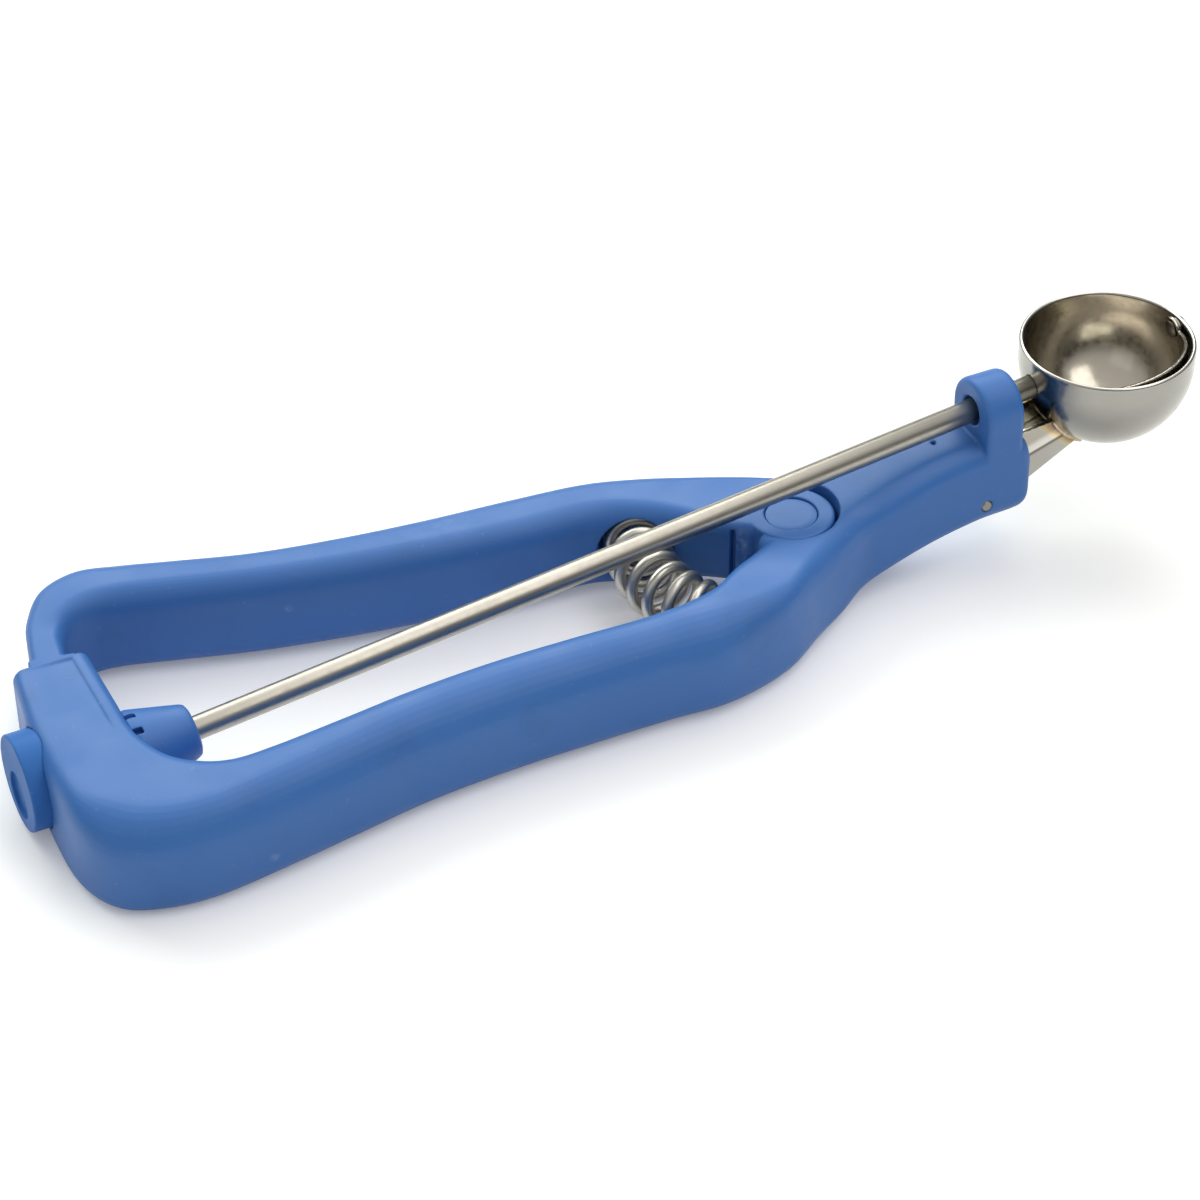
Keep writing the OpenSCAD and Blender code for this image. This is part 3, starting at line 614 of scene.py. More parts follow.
def blue_plastic(name, scuffs, gloss=0.42):
    """Satin blue plastic: a slightly uneven tone, a fine grain, dull smudges and pale scuffs."""
    material, finish, place = new_finish(name)
    cloud = noise(finish, place, 28, 3)
    tone = tint(finish, spread(finish, cloud, 0.35, 0.65, 0.0, 0.35), BLUE, BLUE_LIGHT)
    smudge = spread(finish, noise(finish, place, 70, 5, 0.62), 0.55, 0.78, 0.0, 0.28)
    tone = tint(finish, smudge, tone, BLUE_DIRTY)
    speck = spread(finish, noise(finish, place, 520, 4, 0.7), 0.66, 0.74, 0.0, 0.22)
    for centre, near, radius, stretch, depth in scuffs:
        spot = mark(finish, place, near, centre, radius, stretch)
        torn = spread(finish, noise(finish, place, 330, 5, 0.6), 0.42, 0.62, 0.0, depth)
        speck = speck.math("MAXIMUM", speck, spot * torn)
    tone = tint(finish, speck, tone, BLUE_PALE)
    rough = spread(finish, noise(finish, place, 95, 4), 0.3, 0.7, 0.40, 0.52) + speck * 0.15
    grain = noise(finish, place, 2600, 2, 0.6)
    flow = noise(finish, place, 60, 2)
    skin = bump(finish, grain * 0.35 + flow * 0.65, 0.10, 0.0004)
    sockets = {"Base Color": tone, "Roughness": rough, "Normal": skin}
    shade(finish, {**sockets, "Specular IOR Level": gloss})
    return material


# each scuff: its place, the radius of its full part, its whole radius, its stretch and its depth
HANDLE_SCUFFS = [
    ((-130.4, -26.5, 17.5), 0.3, 2.2, (0.7, 1, 1.2), 0.55),
    ((-118, -31.9, 6), 0.2, 1.4, (1, 1, 1), 0.6),
    ((42, 4, 31.5), 0.5, 3.5, (1, 0.6, 1), 0.3),
]
dress(fixed_handle, blue_plastic("blue_handle", HANDLE_SCUFFS))
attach(fixed_handle, "handle")
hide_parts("fixed_handle")

# ---- Squeeze lever ----
# The far grip arm, a second blue moulding. Its round eye turns on the pivot pin, its tongue
# reaches through the mouth of the block and carries the rack teeth over the pinion.
EYE_LO, EYE_HI, EYE_R = 5.4, 19.1, 8.2
LEVER_LO, LEVER_HI = 0.5, 19.6
TONGUE_LO, TONGUE_HI = 1.6, 18.3
RACK_IN, RACK_OUT = 135.8, 144.4
RACK_R = (RACK_IN + RACK_OUT) / 2
DRIVE_RATIO = 30
PITCH_R = RACK_R / DRIVE_RATIO
MESH_Z = rod_z(-RACK_R) + PITCH_R
SLAB_LO = rod_z(-RACK_IN) + PITCH_R + 1.1
TONGUE_FROM, TONGUE_TO = -1.2, 9.5
TOOTH_HALF, TOOTH_TIP, TOOTH_ROOT = 0.575, 0.8, 0.8
TOOTH_FLANK, TOOTH_STEP = 20, 1.2
LEVER_BORE_R = 3.06
# from the pivot eye along the far arm and round the elbow to the tongue
LEVER_STATIONS = [
    (3.2, 12.2, -7.4, -1.6, EYE_LO, EYE_HI, 2),
    (-2.6, 16, -12.4, 1.6, EYE_LO, EYE_HI, 2.6),
    (-11, 20.4, -18.2, 7.6, 3.4, 19.4, 3.6),
    (-20.4, 24.8, -24.6, 12.4, LEVER_LO, LEVER_HI, 4.4),
    (-31, 28.3, -33, 16, LEVER_LO, LEVER_HI, 4.8),
    (-46, 30, -47.5, 17.2, LEVER_LO, LEVER_HI, 4.8),
    (-62, 31.4, -64, 19.2, LEVER_LO, LEVER_HI, 4.8),
    (-78, 33.5, -80.5, 21.9, LEVER_LO, LEVER_HI, 4.8),
    (-94, 36.6, -97.5, 25.6, LEVER_LO, LEVER_HI, 4.8),
    (-108, 41, -112, 29.9, LEVER_LO, LEVER_HI, 4.8),
    (WALL_X + 15, 44.2, WALL_X + 10.6, 32.8, LEVER_LO, 19.5, 4.8),
    (WALL_X + 6.4, 46.2, WALL_X + 5, 33.6, LEVER_LO, 19.4, 4.4),
    (WALL_X - 1.4, 43.6, WALL_X + 0.6, 32, 0.8, 19.2, 4),
    (WALL_X - 6, 37.4, WALL_X - 1.8, 28.8, TONGUE_LO, TONGUE_HI, 3),
    (WALL_X - 8.2, 30.6, WALL_X - 3, 25, TONGUE_LO, TONGUE_HI, 2),
    (WALL_X - 10.4, 19.4, WALL_X - 4.1, 19.4, TONGUE_LO, TONGUE_HI, 1.2),
]
ALONG_X = Matrix(((0, 0, 1, 0), (1, 0, 0, 0), (0, 1, 0, 0), (0, 0, 0, 1)))


def rack_tooth(number):
    """A tooth below the tongue, on the pitch circle about the pivot."""
    top = SLAB_LO + TOOTH_ROOT - MESH_Z
    flank = math.tan(math.radians(TOOTH_FLANK))
    half_top, half_tip = TOOTH_HALF + flank * top, TOOTH_HALF - flank * TOOTH_TIP
    outline = [(-half_top, top), (-half_tip, -TOOTH_TIP), (half_tip, -TOOTH_TIP), (half_top, top)]
    place = (
        Matrix.Rotation(-math.radians((number + 0.5) * TOOTH_STEP), 4, "Z")
        @ Matrix.Translation((-RACK_R, 0, MESH_Z))
        @ Matrix.Rotation(-ROD_RISE, 4, "Y")
        @ ALONG_X
    )
    half = (RACK_OUT - RACK_IN) / 2
    return prism(f"tooth_{number}", outline, -half, half, place)


def bar_outline(x1, x2, half):
    return [(x1, -half), (x2, -half), (x2, half), (x1, half)]


eye_edge = [(EYE_HI - 0.5, EYE_R), (EYE_HI - 0.15, EYE_R - 0.15), (EYE_HI, EYE_R - 0.5)]
eye = turned("eye", [(EYE_LO, EYE_R)] + eye_edge, ORIGIN, UP)
tongue = sector("tongue", RACK_IN, RACK_OUT, SLAB_LO, TONGUE_HI, TONGUE_FROM, TONGUE_TO)
slit_place = Matrix.Translation((-11.8, 1.25, 0)) @ Matrix.Rotation(math.radians(40), 4, "Z")
lever_cuts = [
    turned("lever_bore", [(-1, LEVER_BORE_R), (OVER_TOP, LEVER_BORE_R)], ORIGIN, UP),
    turned("head_seat", [(16.74, 5.06), (20.8, 5.06)], ORIGIN, UP),
    turned("far_seat", SEAT_CUT, FAR_SEAT, SPRING_PULL - FAR_SEAT),
    prism("slit", bar_outline(-1.6, 1.6, 0.5), EYE_LO - 1, EYE_HI - 1.2, slit_place),
]
lever = moulding("lever_moulding", LEVER_STATIONS)
combine(lever, "UNION", [eye, tongue] + [rack_tooth(k) for k in range(-1, 6)])
combine(lever, "DIFFERENCE", lever_cuts)
cast(lever, voxel=0.26, passes=4)
LEVER_SCUFFS = [
    ((-92, 24.6, 12), 0.2, 1.3, (1, 1, 1), 0.7),
    ((-10.5, 0.3, 14), 0.3, 3.2, (1.2, 1.2, 0.5), 0.8),
    ((-60, 25, 19.6), 0.5, 6, (0.5, 1, 1), 0.1),
]
dress(lever, blue_plastic("blue_lever", LEVER_SCUFFS))
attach(lever, "lever")
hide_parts("lever_handle")

# ---- Pivot ----
# A headed steel pin stands in the pocket floor, with a flat washer under the eye. A small blue
# disc snaps in over the head and lies just below the eye's top.
HEAD_TOP, DISC_R = 17.9, 4.95
AXIS_GAP = 0.01


def smooth(piece, corner):
    """Shades the piece smooth, but keeps edges that turn by more than the corner angle."""
    piece.data.shade_smooth()
    piece.data.set_sharp_from_angle(angle=math.radians(corner))


disc_top = [(0.62, DISC_R), (0.8, 4.85), (0.88, 4.6), (0.86, 3.4), (0.8, AXIS_GAP)]
pivot_cap = turned("pivot_disc", [(0, AXIS_GAP), (0, DISC_R)] + disc_top, (0, 0, HEAD_TOP), UP)
smooth(pivot_cap, 40)
dress(pivot_cap, blue_plastic("blue_disc", []))
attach(pivot_cap, "lever")
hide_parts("pivot_cap")


def darker(colour, share):
    return tuple(part * share for part in colour)


def metal(finish, tone, rough, normal):
    sockets = {"Base Color": tone, "Metallic": 1.0, "Roughness": rough, "Normal": normal}
    shade(finish, sockets)


def steel(name, colour, rough, grain=900.0, depth=0.05, dirt=0.25):
    """Plain stainless steel: a fine grain and a few dull patches."""
    material, finish, place = new_finish(name)
    streak = noise(finish, place, grain, 3, 0.6)
    patch = spread(finish, noise(finish, place, 160, 4, 0.6), 0.45, 0.75, 0.0, dirt)
    tone = tint(finish, spread(finish, streak, 0.3, 0.7, 0.0, 0.18), colour, darker(colour, 0.8))
    tone = tint(finish, patch, tone, darker(colour, 0.55))
    sheen = spread(finish, streak, 0.25, 0.75, rough * 0.8, rough * 1.3) + patch * 0.2
    metal(finish, tone, sheen, bump(finish, streak, depth, 0.00008))
    return material


PIN_STEEL = (0.42, 0.40, 0.36)
hidden_steel = steel("pin_steel", PIN_STEEL, 0.3)
for node in ("pivot_pin", "pivot_washer"):
    dress(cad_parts[node], hidden_steel)

# ---- Return spring ----
# A compression spring of bright wire, wound by machine with two close end coils. It sits in
# round recesses of the two arms.
COIL_R, WIRE_R, COILS, FIRST_TURN = 5.4, 1.15, 7.5, 233
PER_COIL, WIRE_POINTS = 48, 20
CLOSE_TURN, WIRE_PLAY, STILL_END = 0.75, 0.05, 2.4
SPRING_STEEL = (0.56, 0.54, 0.49)
END_TURN = CLOSE_TURN / COILS
SEAT_CLIMB = CLOSE_TURN * 2 * WIRE_R
to_pull, from_pull = SPRING_PULL - NEAR_SEAT, FAR_SEAT - SPRING_PULL
spring_len = (2 * (FAR_SEAT - NEAR_SEAT).length + to_pull.length + from_pull.length) / 3


def climb(t):
    """Way of the wire along the spring at share t of its turns."""
    run = spring_len - 2 * WIRE_R - 2 * WIRE_PLAY
    if t < END_TURN:
        return t / END_TURN * SEAT_CLIMB
    if t > 1 - END_TURN:
        return run - (1 - t) / END_TURN * SEAT_CLIMB
    return SEAT_CLIMB + (t - END_TURN) / (1 - 2 * END_TURN) * (run - 2 * SEAT_CLIMB)


def wire_ring(k):
    """Section k of the wire, square to the turn it lies in."""
    angle = math.radians(FIRST_TURN) + k / PER_COIL * math.tau
    t = (WIRE_R + WIRE_PLAY + climb(k / coil_steps)) / spring_len
    middle = NEAR_SEAT * (1 - t) ** 2 + SPRING_PULL * 2 * t * (1 - t) + FAR_SEAT * t * t
    way = (to_pull * (1 - t) + from_pull * t).normalized()
    side = Vector((-way.y, way.x, 0))
    outward = side * math.sin(angle) - Vector((0, 0, math.cos(angle)))
    turns = [i * math.tau / WIRE_POINTS for i in range(WIRE_POINTS)]
    return [
        middle + outward * (COIL_R + WIRE_R * math.cos(a)) + way * WIRE_R * math.sin(a) for a in turns
    ]


coil_steps = int(COILS * PER_COIL)
wire_rings = [wire_ring(k) for k in range(coil_steps + 1)]
spring = lofted("spring_wire", wire_rings)
smooth(spring, 50)
dress(spring, steel("spring_wire_steel", SPRING_STEEL, 0.32, 420, 0.03, dirt=0.3))
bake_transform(spring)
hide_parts("return_spring")

# ---- Drive rod and pinion ----
# A drawn stainless rod with a fine lengthwise grain. Its stepped front end is riveted to the
# blade, and a ten-tooth steel pinion is pressed on its rear end inside the block.
ROD_R, SPIGOT_R = 2.25, 1.5
RUN_FIT = 0.1
ROD_STEEL, ROD_STREAK, ROD_DULL = (0.46, 0.43, 0.375), (0.34, 0.32, 0.28), (0.30, 0.28, 0.25)
PINION_STEEL = (0.36, 0.35, 0.33)
ROD_BACK = along(REAR_X + 1.8)
BLADE_OUT, BLADE_T = 15.45, 0.7
BLADE_IN = BLADE_OUT - BLADE_T
rod = turned(
    "drive_bar",
    [
        (ROD_BACK, AXIS_GAP),
        (ROD_BACK, ROD_R - 0.4),
        (ROD_BACK + 0.4, ROD_R),
        (-BLADE_OUT - 0.2, ROD_R),
        (-BLADE_OUT + 0.04, ROD_R - 0.2),
        (-BLADE_OUT + 0.04, SPIGOT_R),
        (-BLADE_IN + 0.9, SPIGOT_R),
        (-BLADE_IN + 1, AXIS_GAP),
    ],
    on_rod(0),
    ROD_DIR,
    128,
)
smooth(rod, 40)

# the grain is noise drawn out along the rod
DRAWN_OUT = 0.975
material, finish, place = new_finish("drawn_rod")
length = vectors(finish, "DOT_PRODUCT", place, ROD_DIR, output="Value")
scaled = {0: tuple(ROD_DIR), "Scale": length * DRAWN_OUT}
lengthwise = finish.node("ShaderNodeVectorMath", {"operation": "SCALE"}, scaled)
streak = noise(finish, vectors(finish, "SUBTRACT", place, lengthwise), 1500, 3, 0.6)
mottle = noise(finish, place, 420, 4, 0.65)
tone = tint(finish, spread(finish, streak, 0.35, 0.7, 0.0, 0.45), ROD_STEEL, ROD_STREAK)
tone = tint(finish, spread(finish, mottle, 0.5, 0.72, 0.0, 0.2), tone, ROD_DULL)
rough = spread(finish, mottle, 0.3, 0.7, 0.30, 0.40)
metal(finish, tone, rough, bump(finish, streak * 0.9 + mottle * 0.1, 0.08, 0.0001))
dress(rod, material)
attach(rod, "drive")
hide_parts("drive_rod")
dress(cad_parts["pinion"], steel("pinion_steel", PINION_STEEL, 0.4))

# ---- Rod bush and end plug ----
# Two small blue mouldings close the block. The tapered bush is pushed into its inner wall and
# guides the rod, the plug with its round dished cap closes the rear hole behind the pinion.
BUSH_R, BUSH_TIP_R = 7.8, 4.9
NOTCH_LONG, NOTCH_HALF = 2, 0.65
DISH_R, DISH_DROP, DISH_FLOOR = 4.4, 2.6, 2.9
PLUG_GLOSS = 0.1
bush_flange = BUSH_SEAT + 0.03
bush_end = along(WALL_X + 11.9)
bush = turned(
    "bush_moulding",
    [
        (along(WALL_X - 2.4), BUSH_PLUG_R),
        (bush_flange, BUSH_PLUG_R),
        (bush_flange, BUSH_R),
        (bush_flange + 1.2, BUSH_R),
        (bush_end - 1.1, BUSH_TIP_R + 0.25),
        (bush_end - 0.35, BUSH_TIP_R - 0.1),
        (bush_end, BUSH_TIP_R - 0.8),
    ],
    on_rod(0),
    ROD_DIR,
    128,
)
bush_cuts = [rod_bar("bush_bore", along(WALL_X - 3.4), bush_end + 1, ROD_R + RUN_FIT)]
notch = bar_outline(bush_flange - 0.2, bush_flange + NOTCH_LONG, NOTCH_HALF)
for tilt in (-8, 22):
    notch_place = ROD_FRAME @ Matrix.Rotation(math.radians(tilt), 4, "X")
    bush_cuts.append(prism(f"notch_{tilt}", notch, BUSH_R - 2, BUSH_R + 2, notch_place))
combine(bush, "DIFFERENCE", bush_cuts)
cast(bush, voxel=0.16, passes=3)
dress(bush, blue_plastic("blue_bush", []))
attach(bush, "handle")
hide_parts("rod_bush")

plug_profile = [(-3.3, PLUG_R), (-CAP_SINK, PLUG_R), (-CAP_SINK, CAP_R)]
plug_profile += [(3.4, CAP_R), (3.62, CAP_R - 0.1), (3.72, CAP_R - 0.35)]
plug = turned("plug_moulding", plug_profile, CAP_PLACE, CAP_DIR, 128)
dish_place = CAP_PLACE - Vector((0, 0, DISH_DROP))
plug_cuts = [
    rod_bar("plug_bore", ROD_BACK - 0.4, ROD_BACK + 12, ROD_R + RUN_FIT),
    turned("cap_dish", [(DISH_FLOOR, DISH_R), (6, DISH_R)], dish_place, CAP_DIR),
]
combine(plug, "DIFFERENCE", plug_cuts)
cast(plug, voxel=0.13, passes=2)
dress(plug, blue_plastic("blue_plug", [], PLUG_GLOSS))
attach(plug, "handle")
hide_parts("end_plug")

# ---- Bowl ----
# A small bowl pressed from 1 mm stainless sheet and polished inside and out, with a rolled,
# rounded rim. Two holes on the rod's line let the blade's pivots through.
BOWL_R, BOWL_T, RIM_H = 16.9, 0.95, 3.2
FRONT_PIN_R = 1.1
BOWL_STEPS, RIM_STEPS = 60, 4
bowl_in = BOWL_R - BOWL_T


def ball(radius, share, steps):
    """Profile of a ball from its lowest point over this share of a half circle."""
    turns = [math.pi * share * k / steps for k in range(steps + 1)]
    return [(-radius * math.cos(a), max(radius * math.sin(a), AXIS_GAP)) for a in turns]


rim_half = BOWL_T / 2
rim_turns = [math.pi * k / 12 for k in range(1, 13)]
bowl_profile = ball(BOWL_R, 0.5, BOWL_STEPS)
bowl_profile += [(RIM_H * k / RIM_STEPS, BOWL_R) for k in range(1, RIM_STEPS + 1)]
bowl_profile += [
    (RIM_H + rim_half * math.sin(a), BOWL_R - rim_half + rim_half * math.cos(a)) for a in rim_turns
]
bowl_profile += [(RIM_H * k / RIM_STEPS, bowl_in) for k in range(RIM_STEPS - 1, -1, -1)]
bowl_profile += ball(bowl_in, 0.5, BOWL_STEPS)[-2::-1]
bowl = turned("bowl_shell", bowl_profile, BOWL_CENTRE, UP, 256)
bowl_cuts = [
    rod_bar("rod_hole", -BOWL_R - 4, -10, ROD_R + RUN_FIT),
    rod_bar("pivot_hole", 10, BOWL_R + 4, FRONT_PIN_R + 0.05),
]
combine(bowl, "DIFFERENCE", bowl_cuts)
smooth(bowl, 50)

BOWL_STEEL = (0.34, 0.33, 0.30)
# the inside of the same sheet is painted lighter and warmer than the outside: painted light
BOWL_INSIDE_PAINTED_LIGHT = (0.52, 0.475, 0.40)
# painted highlight: the top of the rolled rim is coloured lighter
BOWL_RIM_HIGHLIGHT = (0.50, 0.48, 0.45)
BEAD_ALONG, BEAD_UP, BEAD_LINE, BEAD_SIDE = 0.69, 0.72, 55.0, 4.7
CREASE_RISE, CREASE_LOW, CREASE_REACH = 0.318, 3.64, 4
HEAT_STOPS = [
    (0.2, (0.58, 0.53, 0.41)),
    (0.5, (0.58, 0.47, 0.28)),
    (0.8, (0.43, 0.31, 0.18)),
    (1.0, (0.30, 0.23, 0.17)),
]
# painted light on the channel walls: multipliers for a dark painted reflection line and a painted
# highlight strip above it
CREASE_SHADE_AND_HIGHLIGHT_STOPS = [
    (0.0, (0.85, 0.85, 0.85)),
    (0.42, (0.8, 0.8, 0.8)),
    (0.5, (0.22, 0.2, 0.18)),
    (0.57, (1.4, 1.4, 1.42)),
    (0.7, (1.3, 1.3, 1.32)),
    (0.85, (0.8, 0.77, 0.74)),
]


def polished(name, colour, rough, bead_reach=0.0, inside=None, painted_rim_highlight=None, painted_crease_light=False):
    """Polished stainless sheet: faint waves, fine wipe marks and, by a weld, a heat tint. It can also
    carry painted light: a lighter, warmer inside, a painted highlight on the rim's top, and a painted
    reflection line with a painted highlight strip along the channel walls.
    """
    material, finish, place = new_finish(name)
    wave = noise(finish, place, 55, 2)
    wipe = noise(finish, place, 700, 4, 0.65)
    cloud = spread(finish, noise(finish, place, 110, 4, 0.6), 0.45, 0.75, 0.0, 0.3)
    tone = tint(finish, cloud, colour, darker(colour, 0.72))
    parts = [finish.node("ShaderNodeSeparateXYZ", inputs={0: place}, output=k) for k in range(3)]
    from_centre = vectors(finish, "DISTANCE", place, BOWL_CENTRE * MM, output="Value")
    outside = spread(finish, from_centre, (BOWL_R - 0.6) * MM, (BOWL_R - 0.4) * MM)
    # painted light: the bowl's inside gets a lighter, warmer colour than its outside
    if inside:
        inner = tint(finish, cloud, inside, darker(inside, 0.8))
        tone = tint(finish, outside, inner, tone)
    # painted highlight on the top of the rim, above the rim's height
    if painted_rim_highlight:
        edge = (BOWL_CENTRE.z + RIM_H) * MM
        tone = tint(finish, spread(finish, parts[2], edge, edge + 0.3 * MM, 0.0, 0.8), tone, painted_rim_highlight)
    if bead_reach:
        # how far a point lies from the line of the nearer weld bead, outside the bowl wall
        off_line = parts[0] * BEAD_ALONG + parts[2] * BEAD_UP - BEAD_LINE * MM
        off_side = parts[1].math("ABSOLUTE", parts[1]) - BEAD_SIDE * MM
        gap = off_line.math("SQRT", off_line * off_line + off_side * off_side)
        ragged = gap + (noise(finish, place, 420, 3) - 0.5) * (0.8 * MM)
        spot = spread(finish, ragged, 0.3 * MM, bead_reach * MM, 1.0, 0.0) * outside
        band = ramp(finish, [(0.0, colour)] + HEAT_STOPS, spot)
        tone = tint(finish, spread(finish, spot, 0.0, 0.15), tone, band)
    if painted_crease_light:
        # painted light along the shallow fold line on each wall: a dark painted reflection in the
        # line, a painted highlight strip above it
        over = parts[2] - parts[0] * CREASE_RISE - CREASE_LOW * MM
        reach = CREASE_REACH * MM
        painted_strips = ramp(finish, CREASE_SHADE_AND_HIGHLIGHT_STOPS, spread(finish, over, -reach, reach))
        tone = tint(finish, 1.0, tone, painted_strips, "MULTIPLY")
    shine = spread(finish, wipe, 0.3, 0.7, rough * 0.7, rough * 1.5) + cloud * 0.12
    metal(finish, tone, shine, bump(finish, wave, 0.16, 0.0006))
    return material


dress(bowl, polished("bowl_polish", BOWL_STEEL, 0.17, 1.9, BOWL_INSIDE_PAINTED_LIGHT, BOWL_RIM_HIGHLIGHT))
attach(bowl, "handle")
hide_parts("bowl")

# ---- Shank channel and its weld ----
# A channel folded from 1.2 mm stainless sheet. Its foot sits in a slot of the neck, held by a
# cross pin, and its upper end is welded to the bowl, which leaves straw and brown heat colours.
BEND_SOFT = 2.0
CHANNEL_END = 62
CHANNEL_STEEL = (0.54, 0.52, 0.47)


def floor_z(x):
    """Underside of the channel, with a soft bend where it starts to rise."""
    past = x - BEND_X
    return SHANK_LO + RISE * 0.5 * (past + math.sqrt(past**2 + BEND_SOFT)) - 0.05


def channel_ring(x, half, lift, marks, top):
    """Section of the channel: marks run from its floor up one wall, as way in and way up."""
    low = floor_z(x) + lift
    right = [(half - inward, low + up) for inward, up in marks]
    ring = right + [(half, top), (-half, top)] + [(-y, z) for y, z in reversed(right)]
    return [(x, y, z) for y, z in ring]


WALL_MARKS = [(1.3, 0), (0.8, 0.08), (0.4, 0.3), (0.15, 0.65), (0.03, 1.1), (0, 1.6)]
INSIDE_MARKS = [(0.6, 0), (0.42, 0.05), (0.25, 0.2), (0.12, 0.4), (0.03, 0.55), (0, 0.7)]
channel_marks = [SLOT_X + (CHANNEL_END - SLOT_X) * k / 40 for k in range(41)]
outside_rings = [
    channel_ring(x, SHANK_HALF, 0, WALL_MARKS, SHANK_TOP + TOP_RISE * (x - SLOT_X))
    for x in channel_marks
]
inside_rings = [
    channel_ring(x, SHANK_HALF - SHANK_T, SHANK_T, INSIDE_MARKS, 60)
    for x in [SLOT_X - 1] + channel_marks + [CHANNEL_END + 2]
]
channel = lofted("channel", outside_rings)
channel_cuts = [
    lofted("inside", inside_rings),
    turned("bowl_ball", ball(BOWL_R + 0.02, 1, 64), BOWL_CENTRE, UP, 128),
    prism("under_bowl", bar_outline(BOWL_X - 9, 120, 20), rod_z(BOWL_X) - 8, 70),
    rod_bar("rod_room", -60, 0, ROD_R + 0.4),
    turned("channel_pin_hole", CROSS_PIN_HOLE, CROSS_PIN_PLACE, ACROSS),
]
combine(channel, "DIFFERENCE", channel_cuts)
cast(channel, voxel=0.16, passes=4)
channel.name = "shank_channel"
# the channel walls carry a painted reflection line and a painted highlight strip
dress(channel, polished("channel_polish", CHANNEL_STEEL, 0.16, 2.2, painted_crease_light=True))
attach(channel, "handle")
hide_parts("tang")


WELD_STEPS, WELD_POINTS = 60, 16
WELD_LOW, WELD_TALL, WELD_R = 19.3, 6.2, 0.62
WELD_STOPS = [
    (0.3, (0.60, 0.55, 0.47)),
    (0.5, (0.58, 0.46, 0.27)),
    (0.62, (0.40, 0.29, 0.17)),
    (0.75, (0.25, 0.22, 0.21)),
]


def weld_ring(side, k):
    """Section k of a bead, which follows the corner of wall and bowl in small ripples."""
    share = k / WELD_STEPS
    z = WELD_LOW + WELD_TALL * share
    y = side * (SHANK_HALF + 0.22)
    reach = (BOWL_R + 0.12) ** 2 - y * y - (z - BOWL_CENTRE.z) ** 2
    centre = Vector((BOWL_CENTRE.x - math.sqrt(reach), y, z))
    r = WELD_R + 0.10 * math.sin(k * 1.9) - 0.25 * abs(2 * share - 1) ** 4
    outward = (centre - BOWL_CENTRE).normalized()
    sideways = outward.cross(Vector((0, 0, 1))).normalized()
    turns = [i * math.tau / WELD_POINTS for i in range(WELD_POINTS)]
    return [centre + outward * r * 0.8 * math.cos(a) + sideways * r * math.sin(a) for a in turns]


weld = lofted("weld_bead", [weld_ring(1, k) for k in range(WELD_STEPS + 1)])
other_bead = lofted("weld_bead_2", [weld_ring(-1, k) for k in range(WELD_STEPS + 1)])
combine(weld, "UNION", [other_bead])
weld.data.shade_smooth()
material, finish, place = new_finish("weld_steel")
ripple = noise(finish, place, 900, 3)
colours = ramp(finish, WELD_STOPS, noise(finish, place, 260, 3))
rough = spread(finish, ripple, 0.3, 0.7, 0.25, 0.45)
metal(finish, colours, rough, bump(finish, ripple, 0.4, 0.0003))
dress(weld, material)
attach(weld, "handle")
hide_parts("tang_weld")

# The cross pin is a short steel pin pressed through neck and channel, with dressed ends.
PIN_HALF, PIN_EDGE = NECK_HALF_W + 0.05, 0.3
CROSS_PIN_STEEL = (0.33, 0.31, 0.275)
pin_profile = [
    (-PIN_HALF, AXIS_GAP),
    (-PIN_HALF, CROSS_PIN_R - PIN_EDGE),
    (-PIN_HALF + PIN_EDGE, CROSS_PIN_R),
    (PIN_HALF - PIN_EDGE, CROSS_PIN_R),
    (PIN_HALF, CROSS_PIN_R - PIN_EDGE),
    (PIN_HALF, AXIS_GAP),
]
cross_pin = turned("cross_pin_bar", pin_profile, CROSS_PIN_PLACE, ACROSS, 48)
smooth(cross_pin, 35)
dress(cross_pin, steel("cross_pin_steel", CROSS_PIN_STEEL, 0.42, 1600, 0.2))
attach(cross_pin, "handle")
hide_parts("tang_cross_pin")

# ---- Scraper blade and its rivets ----
# A band cut and pressed from thin stainless sheet to the curve of the bowl. The rod end is
# riveted to its rear ear, its front ear turns on a headed rivet through the bowl wall.
BLADE_TOP, BLADE_BAND = 13.5, 53.5
EAR_R, FRONT_EAR_R = 3, 2.3
SPIGOT_HOLE_R = SPIGOT_R + 0.03
EAR_NEAR, EAR_FAR = 8, 20
BLADE_STEEL = (0.40, 0.375, 0.33)


def shell(name, radius):
    return turned(name, ball(radius, 1, 90), on_rod(0), ROD_DIR, 180)


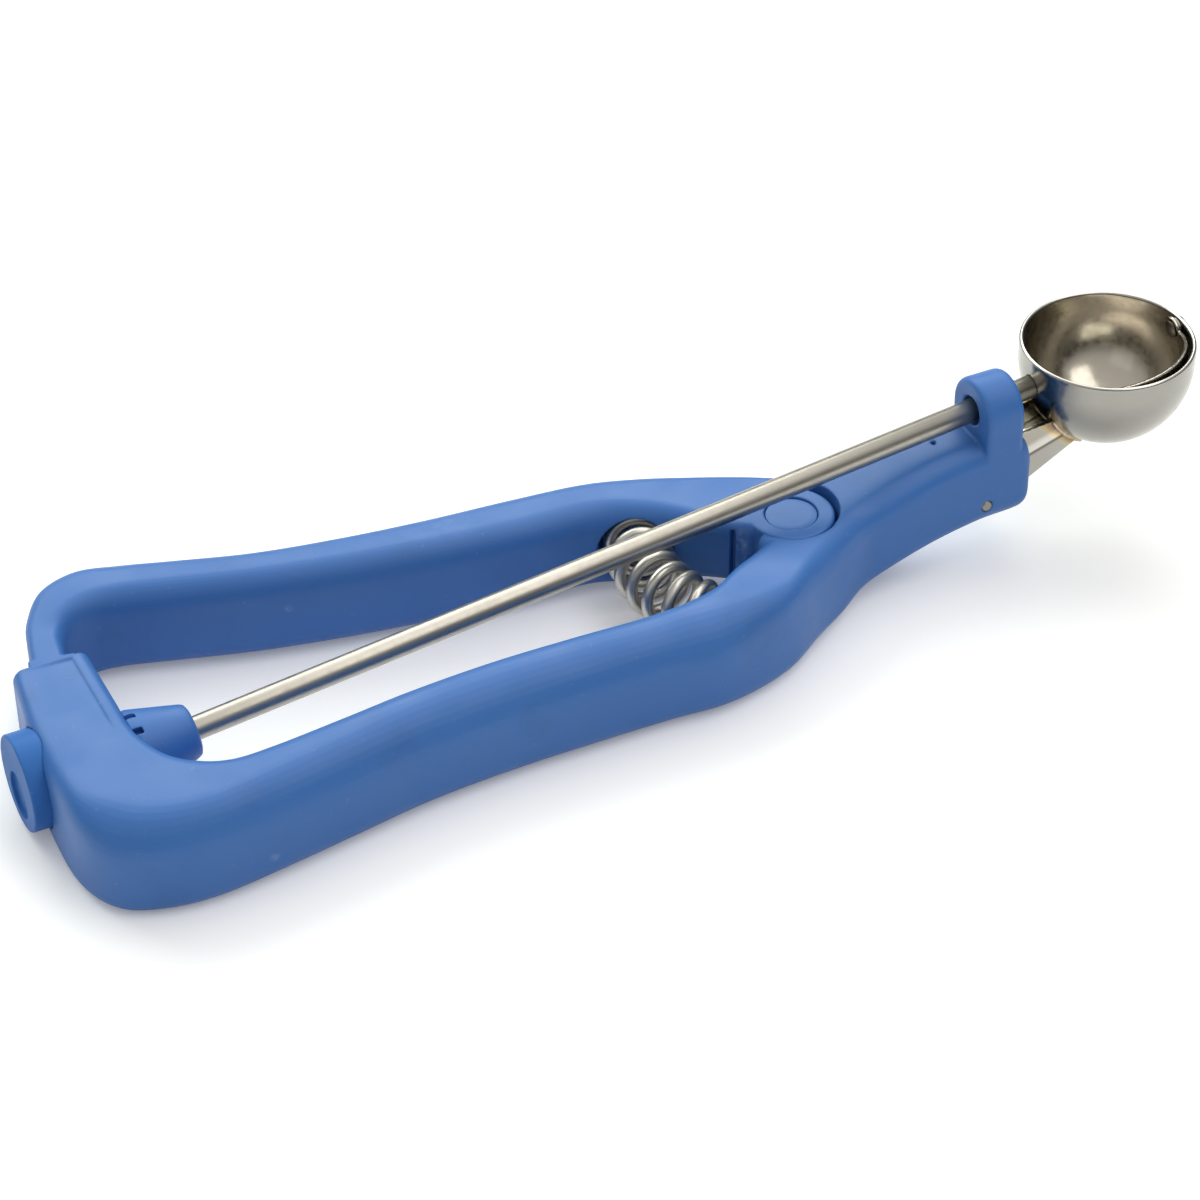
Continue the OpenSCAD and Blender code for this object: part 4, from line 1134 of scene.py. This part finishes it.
blade = shell("blade_band", BLADE_OUT)
low = BLADE_TOP - BLADE_BAND
wedge = [(0, 0), polar(180 - BLADE_TOP, 30), polar(180 - low / 2, 36), polar(180 - low, 30)]
keep = prism("keep", wedge, -EAR_FAR, EAR_FAR, ROD_FRAME @ ALONG_X)
ears = [
    rod_bar("ear_rear", -EAR_FAR, -EAR_NEAR, EAR_R),
    rod_bar("ear_front", EAR_NEAR, EAR_FAR, FRONT_EAR_R),
]
combine(keep, "UNION", ears)
combine(blade, "INTERSECT", [keep])
blade_cuts = [
    shell("blade_inside", BLADE_IN),
    rod_bar("rear_eye", -EAR_FAR, -EAR_NEAR, SPIGOT_HOLE_R),
    rod_bar("front_eye", EAR_NEAR, EAR_FAR, FRONT_PIN_R + 0.06),
]
combine(blade, "DIFFERENCE", blade_cuts)
cast(blade, voxel=0.13, passes=2)
dress(blade, polished("blade_polish", BLADE_STEEL, 0.16))
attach(blade, "drive")
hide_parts("scraper_blade")

RIVET_STEEL = (0.26, 0.24, 0.21)
rivet_steel = steel("rivet_steel", RIVET_STEEL, 0.3)
rod_rivet = turned(
    "rod_end_head",
    [
        (-BLADE_IN + 0.05, SPIGOT_HOLE_R),
        (-BLADE_IN + 0.05, 2.35),
        (-BLADE_IN + 0.55, 2.3),
        (-BLADE_IN + 1.0, 1.9),
        (-BLADE_IN + 1.25, 1.2),
        (-BLADE_IN + 1.3, AXIS_GAP),
        (-BLADE_IN + 1.02, AXIS_GAP),
        (-BLADE_IN + 1.02, SPIGOT_HOLE_R),
    ],
    on_rod(0),
    ROD_DIR,
    64,
    closed=True,
)
front_rivet = turned(
    "front_rivet_head",
    [
        (BLADE_IN - 0.7, AXIS_GAP),
        (BLADE_IN - 0.67, 1.1),
        (BLADE_IN - 0.5, 1.55),
        (BLADE_IN - 0.3, 1.7),
        (BLADE_IN - 0.3, FRONT_PIN_R),
        (BOWL_R + 0.15, FRONT_PIN_R),
        (BOWL_R + 0.15, 1.7),
        (BOWL_R + 0.3, 1.6),
        (BOWL_R + 0.45, 1.1),
        (BOWL_R + 0.5, AXIS_GAP),
    ],
    on_rod(0),
    ROD_DIR,
    64,
)
rivets = (
    (rod_rivet, "drive", "rod_end_rivet"),
    (front_rivet, "handle", "front_pivot_rivet"),
)
for piece, body, node in rivets:
    smooth(piece, 50)
    dress(piece, rivet_steel)
    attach(piece, body)
    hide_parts(node)
dress(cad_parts["front_pivot_washer"], rivet_steel)
